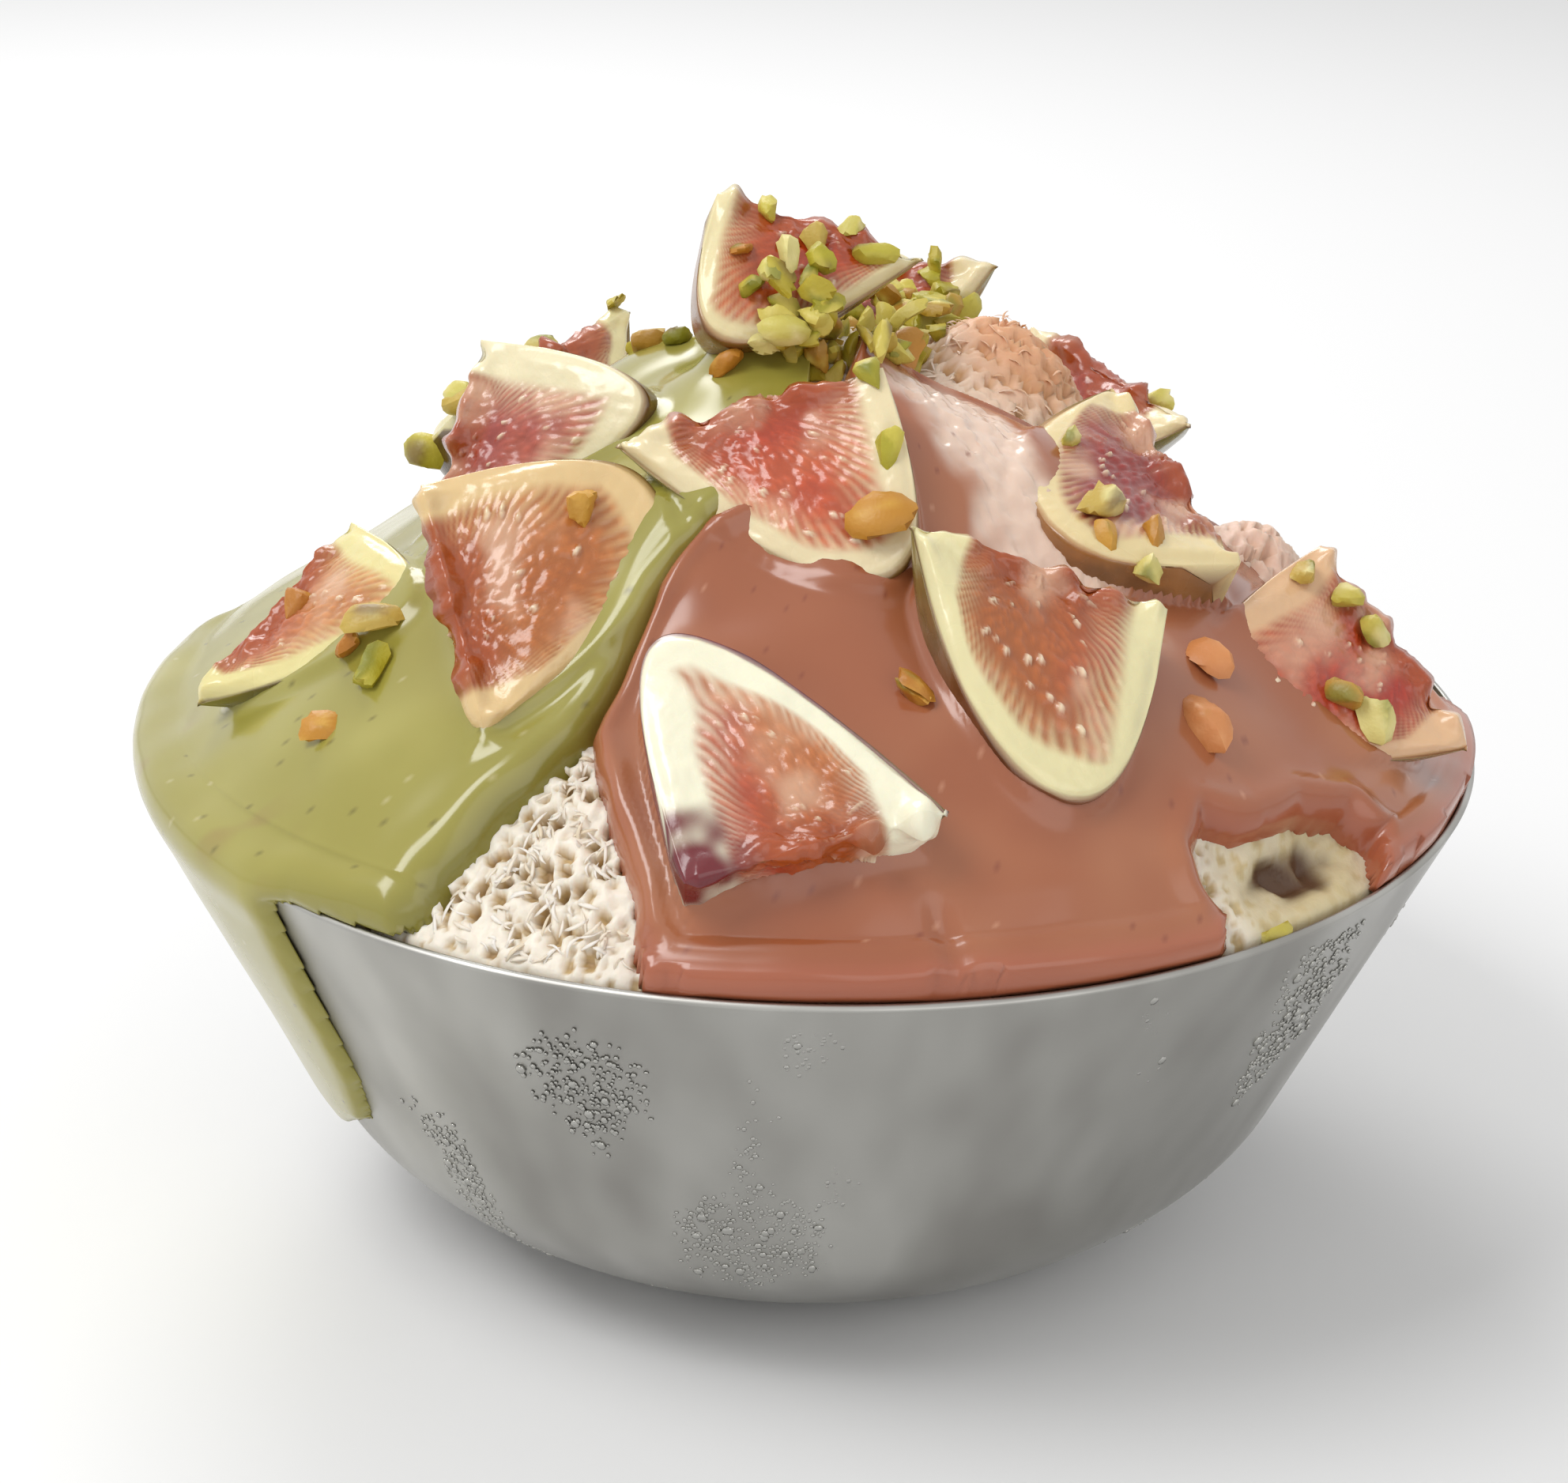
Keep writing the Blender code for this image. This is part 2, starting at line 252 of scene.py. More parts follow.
def brushed_steel():
    """Stainless steel, pressed and brushed round the bowl: a grey metal with faint level scratches, rougher
    in soft upright bands where the cold sheet has fogged, and lighter and darker in the same bands as a
    painted reflection."""
    made, tree, shader = new_material("brushed_stainless_steel", Metallic=1.0)
    place = node(tree, "ShaderNodeTexCoord").outputs["Object"]
    around = node(tree, "ShaderNodeMapping", i0=place, Scale=(60, 60, 2600)).outputs[0]
    lines = node(tree, "ShaderNodeTexNoise", i0=around, Scale=1.0, Detail=2.0).outputs["Fac"]
    upright = node(tree, "ShaderNodeMapping", i0=place, Scale=(55, 55, 9)).outputs[0]
    bands = node(tree, "ShaderNodeTexNoise", i0=upright, Scale=1.0, Detail=2.0).outputs["Fac"]
    # The upright bands also lighten and darken the steel's colour: a painted reflection of the surroundings,
    # not a change in the metal.
    shade = node(tree, "ShaderNodeMapRange", Value=bands, From_Min=0.35, From_Max=0.65).outputs[0]
    dark, pale = (*linear("#96948F"), 1), (*linear("#B3B2AD"), 1)
    colour = node(tree, "ShaderNodeMix", {"data_type": "RGBA"}, i0=shade, i6=dark, i7=pale).outputs[2]
    gloss = node(tree, "ShaderNodeMapRange", Value=bands, From_Min=0.3, From_Max=0.7, To_Min=0.42, To_Max=0.3)
    bump = node(tree, "ShaderNodeBump", Height=lines, Strength=0.12, Distance=0.0001).outputs[0]
    tree.links.new(colour, shader.inputs["Base Color"])
    tree.links.new(gloss.outputs[0], shader.inputs["Roughness"])
    tree.links.new(bump, shader.inputs["Normal"])
    return made


def tinted(name, roughness, scatter=0.15, radius=0.002, coat=0.0, bump_mm=None, bump=0.15, spread=0.06):
    """A material that takes its colour from the piece's own tint, with soft uneven gloss. bump_mm is the size
    of its faint relief."""
    made, tree, shader = new_material(name, Roughness=roughness, Coat_Weight=coat, Coat_Roughness=0.12)
    shader.inputs["Subsurface Weight"].default_value = scatter
    shader.inputs["Subsurface Scale"].default_value = radius
    shader.inputs["Subsurface Radius"].default_value = (1.0, 0.6, 0.35)
    colour = node(tree, "ShaderNodeVertexColor", {"layer_name": "tint"}).outputs[0]
    tree.links.new(colour, shader.inputs["Base Color"])
    place = node(tree, "ShaderNodeTexCoord").outputs["Object"]
    patches = node(tree, "ShaderNodeTexNoise", i0=place, Scale=180.0, Detail=1.0).outputs["Fac"]
    gloss = node(
        tree, "ShaderNodeMapRange", Value=patches, To_Min=roughness - spread, To_Max=roughness + spread
    ).outputs[0]
    tree.links.new(gloss, shader.inputs["Roughness"])
    if bump_mm:
        size = bump_mm * MM
        grain = node(tree, "ShaderNodeTexNoise", i0=place, Scale=1 / size, Detail=1.0).outputs["Fac"]
        relief = node(tree, "ShaderNodeBump", Height=grain, Strength=bump, Distance=size * 0.5).outputs[0]
        tree.links.new(relief, shader.inputs["Normal"])
    return made


# ---------------------------------------------------------------- sizes shared by the pieces

# The front view: the unit vectors to its right, up and ahead.
VIEW = ((0.9998, 0.0151, 0.0163), (-0.0209, 0.383, 0.9235), (-0.0077, 0.9236, -0.3832))

# The bowl's rim radius, height, sheet thickness and base radius, and the radius and height of its shoulder.
RIM_R, BOWL_H, WALL, BASE_R = 90.0, 68.0, 0.9, 35.0
SHOULDER = (68.5, 22.0)

# The mound's height above its foot, the foot's height, and the radius where a cream turns down to the rim.
MOUND_H, MOUND_FOOT = 54.0, 66.0
BROW = 84.0

# The middle of the wet paste by the rim at the right.
PASTE = (60, -60, 74)

Fig = namedtuple(
    "Fig", "name place turn length radius belly heart flesh blush blush_at blush_on pith pith_w skin film"
)

# Each wedge: where the middle of its core edge is, its turn in degrees, the whole fig's length and radius
# and how soon it widens from the stem. Then the colours of its heart, flesh and blush, where along the fig
# the blush lies and how strong it is, the pith's colour and width, the skin's colour, and how much cream
# film lies on it.
FIGS = (
    Fig(
        "fig_crown", (0, -4, 137), (45, -17, 180), 28, 20, 1.8,
        "#9C3408", "#BC5420", "#AC2C0C", 0.45, 0.7, "#E2D4A4", 2.6, "#8A5A22", 0.15,
    ),
    Fig(
        "fig_left_high", (-46, -14, 110), (-3, -62, 67), 28, 25, 1.8,
        "#923808", "#B85C44", "#9E3E3E", 0.5, 0.6, "#E9DEB8", 5.0, "#74501E", 0.3,
    ),
    Fig(
        "fig_centre_high", (-8, -35, 122), (47, -16, 7), 34, 27, 1.8,
        "#A03804", "#C86234", "#B4381C", 0.6, 0.6, "#E6D6AC", 4.5, "#84602C", 0.3,
    ),
    Fig(
        "fig_left_rim", (-69, -24, 90), (1, -41, 37), 31, 22, 1.8,
        "#B45A30", "#C88448", "#B04830", 0.2, 0.5, "#E0D494", 4.0, "#5E4A1E", 0.3,
    ),
    Fig(
        "fig_left_low", (-43, -51, 101), (-18, -48, 115), 33, 28, 3.2,
        "#A84E18", "#B86E30", "#A04408", 0.5, 0.4, "#DDBE88", 4.5, "#8A6C36", 0.35,
    ),
    Fig(
        "fig_front_low", (1, -85, 86), (-40, 11, -166), 31, 31, 1.8,
        "#A85420", "#BC7038", "#AC1810", 0.8, 1.0, "#EFEBD0", 5.5, "#6A2A3C", 0.3,
    ),
    Fig(
        "fig_right_low", (27, -52, 108), (42, 19, 4), 33, 29, 2.6,
        "#9C4A14", "#AC5E26", "#AC302C", 0.9, 0.7, "#E2D8A6", 5.0, "#7A4A2C", 0.35,
    ),
    Fig(
        "fig_right_high", (46, -18, 109), (-8, 21, -66), 37, 24, 4.0,
        "#88300C", "#90200E", "#84100C", 0.6, 1.0, "#E0CC98", 4.5, "#A07040", 0.4,
    ),
    Fig(
        "fig_right_rim", (74, -28, 90), (66, -45, 147), 32, 27, 3.0,
        "#983008", "#B44A26", "#A82018", 0.4, 0.7, "#DDB48A", 4.5, "#946238", 0.35,
    ),
    Fig(
        "fig_back_high", (8, 30, 122), (52, 8, 172), 34, 22, 2.2,
        "#A4400F", "#C46648", "#B43C26", 0.5, 0.6, "#E6D6AC", 4.5, "#7E5A26", 0.2,
    ),
    Fig(
        "fig_back_left", (-38, 36, 108), (40, 10, -128), 34, 22, 1.8,
        "#A0541A", "#BC6C42", "#A43C2C", 0.4, 0.5, "#E2D8A6", 5.0, "#684C1E", 0.2,
    ),
    Fig(
        "fig_back_right", (42, 38, 106), (42, -12, 130), 34, 22, 2.2,
        "#983A14", "#B4563A", "#A4241E", 0.6, 0.8, "#E6D6AC", 5.0, "#64342C", 0.25,
    ),
    Fig(
        "fig_back_low", (2, 68, 96), (40, 6, 178), 36, 22, 1.8,
        "#B0602E", "#C07C4C", "#B03028", 0.7, 0.8, "#E9E0BC", 5.5, "#6E4A24", 0.2,
    ),
)


def level(bearing):
    """The level unit vector at this bearing."""
    return np.stack([np.sin(bearing), -np.cos(bearing)], axis=-1)


def dome(radius, bearing):
    """The mound's height: it falls from the top as a power of the radius that is lower at the sides, so that
    they fall away sooner than the front."""
    power = 1.65 + 0.15 * np.cos(bearing) - 0.38 * np.sin(bearing) ** 2
    return MOUND_FOOT + MOUND_H * (1 - (radius / RIM_R) ** power)


def lumps(radius, bearing):
    """Shallow lumps of the mound from three waves, which fade at its foot and at its top."""
    waves = (
        np.sin(3 * bearing + 0.08 * radius)
        + np.sin(5 * bearing - 0.11 * radius + 1.0)
        + np.sin(0.2 * radius + 2 * bearing)
    )
    return 0.9 * waves * np.clip((RIM_R - radius) / 25, 0, 1) * np.clip(radius / 12, 0, 1)


def flow_path():
    """The way a cream runs, as travel, radius and height and the unit vector out of it: down the dome, over
    the rim and down the wall, with its corners rounded by a running mean."""
    clear = 1.4
    slope = np.array([RIM_R - SHOULDER[0], BOWL_H - SHOULDER[1]])
    slope /= np.linalg.norm(slope)
    wall_top = np.array([RIM_R, BOWL_H]) + clear * np.array([slope[1], -slope[0]]) - 1.5 * slope
    wall_end = wall_top - 49 * slope
    top = np.arange(0, BROW, 0.25)
    stops = [
        (BROW, BROW, dome(BROW, 0)),
        (BROW + 4.0, BROW + 4.0, BOWL_H + 3.0),
        (BROW + 6.5, BROW + 6.2, BOWL_H + 2.1),
        (BROW + 8.2, BROW + 7.6, BOWL_H + 0.7),
        (BROW + 10.0, *wall_top),
        (BROW + 59.0, *wall_end),
        (BROW + 75.0, wall_end[0] - 11, wall_end[1] - 11.5),
    ]
    at, radii, heights = (np.array(values) for values in zip(*stops))
    travel = np.concatenate([top, np.arange(BROW, at[-1], 0.25)])
    radius = np.concatenate([top, np.interp(travel[len(top) :], at, radii)])
    height = np.concatenate([dome(top, 0), np.interp(travel[len(top) :], at, heights)])
    mean = np.ones(9) / 9
    inner = slice(8, -8)
    for values in (radius, height):
        values[inner] = np.convolve(np.convolve(values, mean, "same"), mean, "same")[inner]
    step = np.stack([np.gradient(radius), np.gradient(height)])
    step /= np.linalg.norm(step, axis=0)
    return travel, radius, height, -step[1], step[0]


PATH = flow_path()


def on_path(travel, bearing, lift):
    """Points at this travel and bearing, lifted this far out of the way a cream runs."""
    radius, height, out_r, out_z = (np.interp(travel, PATH[0], values) for values in PATH[1:])
    aside = (dome(radius, bearing) - dome(radius, 0)) * smooth(94, 84, travel)
    height = height + lumps(radius, bearing) + aside
    r = radius + out_r * lift
    across = level(bearing)
    return np.stack([across[..., 0] * r, across[..., 1] * r, height + out_z * lift], axis=-1)


def inside(bearing, travel, outline):
    """The distance of each point into a closed outline of (bearing in degrees, travel) corners, below 0
    outside it: the nearest of the distances to its sides, signed by how often a ray crosses it."""
    scale = math.radians(1) * 72
    corners = np.array(outline, float) * (scale, 1)
    x, y = np.degrees(bearing) * scale, travel
    nearest = np.full(x.shape, 1e9)
    crossed = np.zeros(x.shape, bool)
    for (ax, ay), (bx, by) in zip(corners, np.roll(corners, -1, axis=0)):
        dx, dy = bx - ax, by - ay
        share = np.clip(((x - ax) * dx + (y - ay) * dy) / (dx * dx + dy * dy), 0, 1)
        nearest = np.minimum(nearest, np.hypot(x - ax - share * dx, y - ay - share * dy))
        between = (ay > y) != (by > y)
        with np.errstate(divide="ignore", invalid="ignore"):
            crossed ^= between & (x < (bx - ax) * (y - ay) / (by - ay) + ax)
    return np.where(crossed, nearest, -nearest)


def fig_frame(fig):
    """The wedge's turn and place as a matrix, its columns in the row frame."""
    return np.array(Euler([math.radians(a) for a in fig.turn]).to_matrix()), np.array(fig.place, float)


def fig_profile(t, belly):
    """A fig's radius as a share of its greatest, from the stem (0) to the blossom end (1): it widens from a
    narrow stem as a power of the way left to go, and closes bluntly."""

    def raw(at):
        return (1 - (1 - at) ** belly) * (1 - at**8) ** 0.35

    return raw(np.clip(t, 1e-6, 1 - 1e-6)) / raw(np.linspace(0, 1, 201)).max()


def near_figs(points, reach):
    """How close each point is to any fig wedge: 1 on it, falling to 0 at this reach."""
    close = np.zeros(points.shape[:-1])
    for fig in FIGS:
        turn, place = fig_frame(fig)
        local = (points - place) @ turn
        t = local[..., 0] / fig.length + 0.5
        wide = np.hypot(local[..., 1], local[..., 2]) - fig.radius * fig_profile(t, fig.belly)
        ends = np.abs(local[..., 0]) - fig.length / 2
        gap = np.maximum(np.maximum(local[..., 1], local[..., 2]), np.maximum(wide, ends))
        close = np.maximum(close, 1 - np.clip(gap / reach, 0, 1))
    return close


# ---------------------------------------------------------------- bowl


def bowl_profile(inset):
    """The bowl's outer profile moved inwards by inset: a flat base, a Bezier shoulder and a straight wall."""
    rise = np.array([RIM_R - SHOULDER[0], BOWL_H - SHOULDER[1]])
    rise /= np.linalg.norm(rise)
    start, end = np.array([BASE_R, 0.0]), np.array(SHOULDER)
    t = np.linspace(0, 1, 25)[:, None]
    shoulder = (
        (1 - t) ** 3 * start
        + 3 * (1 - t) ** 2 * t * (start + [10.0, 0.0])
        + 3 * (1 - t) * t**2 * (end - 12.0 * rise)
        + t**3 * end
    )
    wall = end + (np.array([RIM_R, BOWL_H]) - end) * np.linspace(0, 1, 13)[1:, None]
    floor = np.column_stack([np.linspace(1.0, BASE_R, 6)[:-1], np.zeros(5)])
    profile = np.vstack([floor, shoulder, wall])
    along = np.gradient(profile, axis=0)
    along /= np.linalg.norm(along, axis=1)[:, None]
    along[:5] = (1.0, 0.0)
    return profile + inset * np.column_stack([-along[:, 1], along[:, 0]])


def make_bowl(sizes):
    """The bowl turned from its profile: radius times the level vector at each bearing. Its lip is a
    half-round bead, and the wall is a shade out of true, as pressed sheet is."""
    columns, bead = 256, 1.25
    outer, inner = bowl_profile(0.0), bowl_profile(WALL)
    turn = np.linspace(0, math.pi, 9)[1:-1, None]
    out = (outer[-1] - inner[-1]) / 2
    centre = (outer[-1] + inner[-1]) / 2
    lip = centre + np.cos(turn) * out * bead + np.sin(turn) * np.abs(out[0]) * np.array([0.0, bead])
    profile = np.vstack([outer, lip, inner[::-1]])
    bearings = np.linspace(0, 2 * math.pi, columns, endpoint=False)
    out_of_true = 0.15 * np.sin(3 * bearings + 0.6) + 0.1 * np.sin(5 * bearings)
    share = smooth(10, BOWL_H, profile[:, 1])[:, None]
    radius = profile[:, :1] + out_of_true * share
    across = level(bearings)
    points = np.stack(
        [radius * across[:, 0], radius * across[:, 1], np.broadcast_to(profile[:, 1:], radius.shape)], axis=-1
    ).reshape(-1, 3)
    ends = [[0, 0, 0], [0, 0, WALL]]
    faces = rounded_faces(len(profile), columns)
    obj = add_mesh("steel_bowl", np.vstack([points, ends]), faces, brushed_steel(), sharp=50)
    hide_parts("bowl")
    return obj


def wall_point(bearing, height):
    """The point on the bowl's outer wall at this bearing and height, and the level part of its normal."""
    profile = bowl_profile(0.0)
    radius = np.interp(height, profile[6:, 1], profile[6:, 0])
    slope = (np.interp(height + 0.5, profile[6:, 1], profile[6:, 0]) - radius) / 0.5
    across = level(bearing)
    point = np.stack([across[..., 0] * radius, across[..., 1] * radius, height], axis=-1)
    normal = np.stack([across[..., 0], across[..., 1], -slope], axis=-1)
    return point, normal / np.linalg.norm(normal, axis=-1, keepdims=True)


def make_droplets(sizes):
    """Condensation drops: each is a flat dome, a few rings of six points round the wall's normal. They lie in
    clusters where noise over the wall is high, so the bare bands between them stay dry."""
    made, _, shader = new_material("condensation_on_steel", Metallic=1.0, Roughness=0.16)
    shader.inputs["Base Color"].default_value = (*linear("#A9A8A3"), 1)
    rng = np.random.default_rng(5)
    tries = 42000
    bearing, height = rng.uniform(-math.pi, math.pi, tries), rng.uniform(9, 65, tries)
    place, normal = wall_point(bearing, height)
    dense = fractal(np.column_stack([bearing * 80, height * 0.5, bearing * 0]), 13, 2, 40)
    keep = (dense > 0.18 + rng.uniform(0, 0.25, tries)) & ~((bearing < -0.8) & (bearing > -1.6))
    place, normal = place[keep], normal[keep]
    count = len(place)
    side = np.cross(normal, [0, 0, 1.0])
    side /= np.linalg.norm(side, axis=1)[:, None]
    over = np.cross(normal, side)
    radius = rng.uniform(0.16, 0.42, count) * (1 + (rng.random(count) < 0.08) * 0.9)
    stretch = rng.uniform(0.8, 1.5, count)
    angle = np.linspace(0, 2 * math.pi, 7)[:-1]
    rings = []
    for share, rise in ((1.0, -0.1), (0.72, 0.34)):
        circle = (
            side[:, None] * (np.cos(angle) * share)[None, :, None]
            + over[:, None] * (np.sin(angle) * share)[None, :, None] * stretch[:, None, None]
        )
        off = (normal * (rise * radius)[:, None])[:, None]
        rings.append(place[:, None] + radius[:, None, None] * circle + off)
    tops = (place + normal * (0.5 * radius)[:, None])[:, None]
    feet = (place - normal * (0.2 * radius)[:, None])[:, None]
    points = np.concatenate([*rings, tops, feet], axis=1)
    ring = np.arange(6)
    faces4 = quads(2, 6, wrap=True)
    faces3 = np.concatenate([fan(12, 6 + ring), fan(13, ring, True)])
    shift = np.arange(count)[:, None, None] * 14
    blocks = [(faces4 + shift).reshape(-1, 4), (faces3 + shift).reshape(-1, 3)]
    obj = add_mesh("condensation_drops", points.reshape(-1, 3), blocks, made)
    return obj


# ---------------------------------------------------------------- shaved ice


def ice_bumps(points):
    """Where the mound stands proud: a porous shoulder behind the crown and a rough edge at the right. Each is
    a bell round its x and y, with its spread and its rise."""
    total = 0
    for centre, spread, rise in (
        ((26, 6), 11, 11.0),
        ((36, 2), 8, 5.0),
        ((62, -4), 8, 9.0),
        ((-14, 30), 12, 3.0),
    ):
        total = total + rise * bell(points[..., :2], centre, spread)
    return total


def warmed(tint, points, toast, blush):
    """The ice's colours turned towards toast behind the crown and towards blush at its right shoulder."""
    tint = mix(tint, linear(toast), np.clip(bell(points, (30, 5, 122), 14) * 1.2, 0, 0.85))
    return mix(tint, linear(blush), np.clip(bell(points, (60, -14, 102), 16) * 1.1, 0, 0.75))


def make_ice(sizes):
    """The mound: the dome's height over each radius and bearing, with a lace of thin walls between pits. The
    walls stand where a point is as near to the next random spot as to the nearest, and the pits sink round
    the spots. By the rim at the right it is a smooth, wet paste with a hollow in it."""
    parts = ((-48, -6, 0.3), (-6, 28, 0.8), (28, 66, 0.32), (66, 312, 0.62))
    degrees = np.concatenate([np.arange(*part) for part in parts])
    bearings = np.radians(degrees)
    radii = np.concatenate([np.linspace(1.0, 50, 76)[:-1], np.linspace(50, 87.6, 88)])
    r, bearing = np.meshgrid(radii, bearings, indexing="ij")
    across = level(bearing)
    points = np.stack([across[..., 0] * r, across[..., 1] * r, dome(r, bearing) + lumps(r, bearing)], axis=-1)
    points[..., 2] += ice_bumps(points)
    slope = dome(r - 0.5, bearing) - dome(r + 0.5, bearing)
    normal = np.stack([across[..., 0] * slope, across[..., 1] * slope, np.ones_like(r)], axis=-1)
    normal /= np.linalg.norm(normal, axis=-1, keepdims=True)

    warp = np.stack([cloud(points, 5, seed) for seed in (1, 2, 3)], axis=-1) * 1.1
    near, next_near, label = cells(points + warp, 2.2, 20)
    fine, _, fine_label = cells(points + warp * 0.5, 1.25, 30)
    deep = smooth(0.1, 0.3, label) * (1 - smooth(0.22, 0.52, near))
    wall = 1 - smooth(0.02, 0.3, next_near - near)
    shallow = (1 - smooth(0.15, 0.5, fine)) * smooth(0.2, 0.5, fine_label)
    lace = 0.5 * wall - 2.1 * deep - 0.9 * shallow + 0.5 * cloud(points, 4, 6) + 0.25 * cloud(points, 0.9, 7)
    paste = 1 - smooth(10, 17, np.linalg.norm(points - np.array(PASTE), axis=-1))
    folds = 1.7 * fractal(points * (1, 1, 2.2), 7, 4, 50)
    middle = points - (61.0, -60.0, 72.5)
    sideways = middle @ np.array([0.70, 0.71, 0.0])
    down = middle[..., 2] + 0.6 * cloud(points, 3, 8)
    hollow = np.exp(-((sideways / 7.5) ** 2) - ((down / 2.2) ** 2)) * smooth(-2, 1, paste * 4 - 1)
    hollow = np.clip(hollow * (1.15 + 0.6 * cloud(points, 2.4, 12)), 0, 1)
    lift = lace * (1 - paste) + (folds + 0.4) * paste - 3.6 * hollow
    fade = smooth(0, 5, 88.5 - r)
    points = points + normal * (lift * (0.35 + 0.65 * fade))[..., None]

    # The pits are painted a darker tan and their deepest bottoms brown: painted shade in the hollows of the
    # lace.
    ridge, pit_shade_tone, bottom = linear("#EFE6D6"), linear("#C8AC7C"), linear("#94724A")
    depth = np.clip(deep * 1.1 + shallow * 0.45, 0, 1)
    tint = mix(ridge, pit_shade_tone, smooth(0.1, 0.6, depth))
    tint = mix(tint, bottom, smooth(0.75, 1.0, deep) * 0.6)
    tint = tint * (1 + 0.05 * cloud(points, 4, 9))[..., None]
    tint = mix(tint, linear("#CDBD90"), paste * (0.75 + 0.25 * cloud(points, 5, 10)))
    # The hollow in the paste is coloured a dark brown: painted shade in the gap there.
    tint = mix(tint, linear("#583A20"), smooth(0.3, 0.8, hollow))
    tint = warmed(tint, points, "#D89868", "#E2B6A0")

    edge = level(bearings)
    below = [
        np.column_stack([edge * radius, np.full(len(edge), z)])
        for radius, z in ((87.8, 65.5), (86.2, 62.0), (60, 50))
    ]
    ends = [[0, 0, points[0, :, 2].mean()], [0, 0, 50.0]]
    every = np.concatenate([points.reshape(-1, 3), *below, ends])
    extra = np.tile(pit_shade_tone, (len(every) - tint[..., 0].size, 1))
    colours = np.concatenate([tint.reshape(-1, 3), extra])
    colours[-2] = ridge
    finish = tinted("shaved_milk_ice", 0.5, scatter=0.18, radius=0.002, bump_mm=0.5, bump=0.2)
    faces = rounded_faces(len(radii) + len(below), len(bearings))
    obj = add_mesh("shaved_ice_mound", every, faces, finish, colours)
    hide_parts("shaved_ice")
    return obj


def make_shavings(sizes):
    """Loose shavings on the ice: thin bent strips, each a four-sided tube along an arc, laid every way on the
    mound where no cream covers it."""
    rng = np.random.default_rng(9)
    count = 3000
    share = rng.random(count)
    bearing = np.where(
        share < 0.18,
        rng.uniform(-38, -8, count),
        np.where(share < 0.24, rng.uniform(28, 60, count), rng.uniform(70, 300, count)),
    )
    radius = np.where(share < 0.24, rng.uniform(62, 87, count), 88 * np.sqrt(rng.random(count)))
    bearing = np.radians(bearing)
    across = level(bearing)
    centre = np.column_stack([across * radius[:, None], dome(radius, bearing) + lumps(radius, bearing)])
    centre[:, 2] += ice_bumps(centre)
    covered = (inside(bearing, radius, GREEN_OUTLINE) > -1.0) | (inside(bearing, radius, PINK_OUTLINE) > -1.0)
    paste = np.linalg.norm(centre - np.array(PASTE), axis=-1) < 15
    centre = centre[~(covered | paste)]
    count = len(centre)
    slope = np.column_stack([centre[:, :2] / 90, np.full(count, 0.9)])
    normal = slope / np.linalg.norm(slope, axis=1)[:, None]
    along = rng.normal(size=(count, 3))
    along -= (along * normal).sum(1)[:, None] * normal * 0.75
    along /= np.linalg.norm(along, axis=1)[:, None]
    side = np.cross(normal, along)
    side /= np.linalg.norm(side, axis=1)[:, None]
    up = np.cross(along, side)
    length, width = rng.uniform(1.4, 3.6, count), rng.uniform(0.25, 0.55, count)
    arch = rng.uniform(0.1, 0.6, count)
    steps = np.linspace(-1, 1, 6)
    taper = np.array([0.35, 0.8, 1.0, 1.0, 0.75, 0.3])
    corner = np.array([[1, 0.25], [-1, 0.25], [-1, -0.25], [1, -0.25]])
    spine = (
        centre[:, None]
        + along[:, None] * (length[:, None] / 2 * steps)[..., None]
        + normal[:, None] * (0.1 + arch[:, None] * (1 - steps**2))[..., None]
        + side[:, None] * (rng.uniform(-0.5, 0.5, (count, 1)) * steps**2)[..., None]
    )
    half = (width[:, None] / 2 * taper)[:, :, None, None]
    points = (
        spine[:, :, None]
        + half * (side[:, None, None] * corner[:, :1] + up[:, None, None] * corner[:, 1:])
    ).reshape(count, 24, 3)
    faces = np.concatenate([quads(6, 4, wrap=True), [[3, 2, 1, 0], [20, 21, 22, 23]]])
    blocks = [(faces + np.arange(count)[:, None, None] * 24).reshape(-1, 4)]
    every = points.reshape(-1, 3)
    tint = mix(linear("#F4ECE0"), linear("#E6D4B8"), np.repeat(rng.random(count) ** 2, 24))
    tint = warmed(tint, every, "#DDA278", "#E8C2B0")
    finish = tinted("loose_ice_shavings", 0.45, scatter=0.15, radius=0.001)
    obj = add_mesh("ice_shavings", every, blocks, finish, tint)
    return obj


# ---------------------------------------------------------------- creams

# Corners of each cream's edge, as (bearing in degrees, travel along the way it runs).
GREEN_OUTLINE = (
    (-60, 8), (0, 9), (8, 16), (6, 26), (0, 34), (-9, 39), (-16, 45), (-20, 52), (-22, 59),
    (-23.5, 65.5), (-25.5, 70), (-27.5, 75), (-29, 79), (-30.5, 82.5), (-31, 86), (-33, 89.5),
    (-43, 91), (-46, 93), (-47, 105), (-48, 118), (-49, 128), (-52, 137), (-60, 143), (-70, 142),
    (-82, 136), (-90, 122), (-96, 104), (-102, 93), (-110, 84), (-119, 68), (-126, 50), (-124, 28),
    (-110, 10),
)
PINK_OUTLINE = (
    (30, 8), (12, 16), (10, 26), (3, 35), (-8, 38), (-17, 43), (-21, 50), (-22, 57), (-22.5, 63),
    (-22.5, 66), (-20.5, 69.5), (-18.2, 73.5), (-16.4, 76.5), (-14.5, 80), (-13, 85), (-11.5, 89.6),
    (33, 89.6), (34.5, 86), (34, 82), (34.3, 79.5), (36.5, 77.6), (42, 79.6), (48, 79), (52.5, 81),
    (54, 85), (52, 89.6), (88, 89.6), (95, 84), (97, 70), (91, 52), (84, 36), (70, 22), (60, 10),
)


def cream_grid(first, last, end, step):
    """Bearings and travels of a grid over part of the mound, with squares about this wide."""
    bearings = np.radians(np.arange(first, last, math.degrees(step / 78)))
    travels = np.arange(7.0, end, step)
    travel, bearing = np.meshgrid(travels, bearings, indexing="ij")
    return travel, bearing


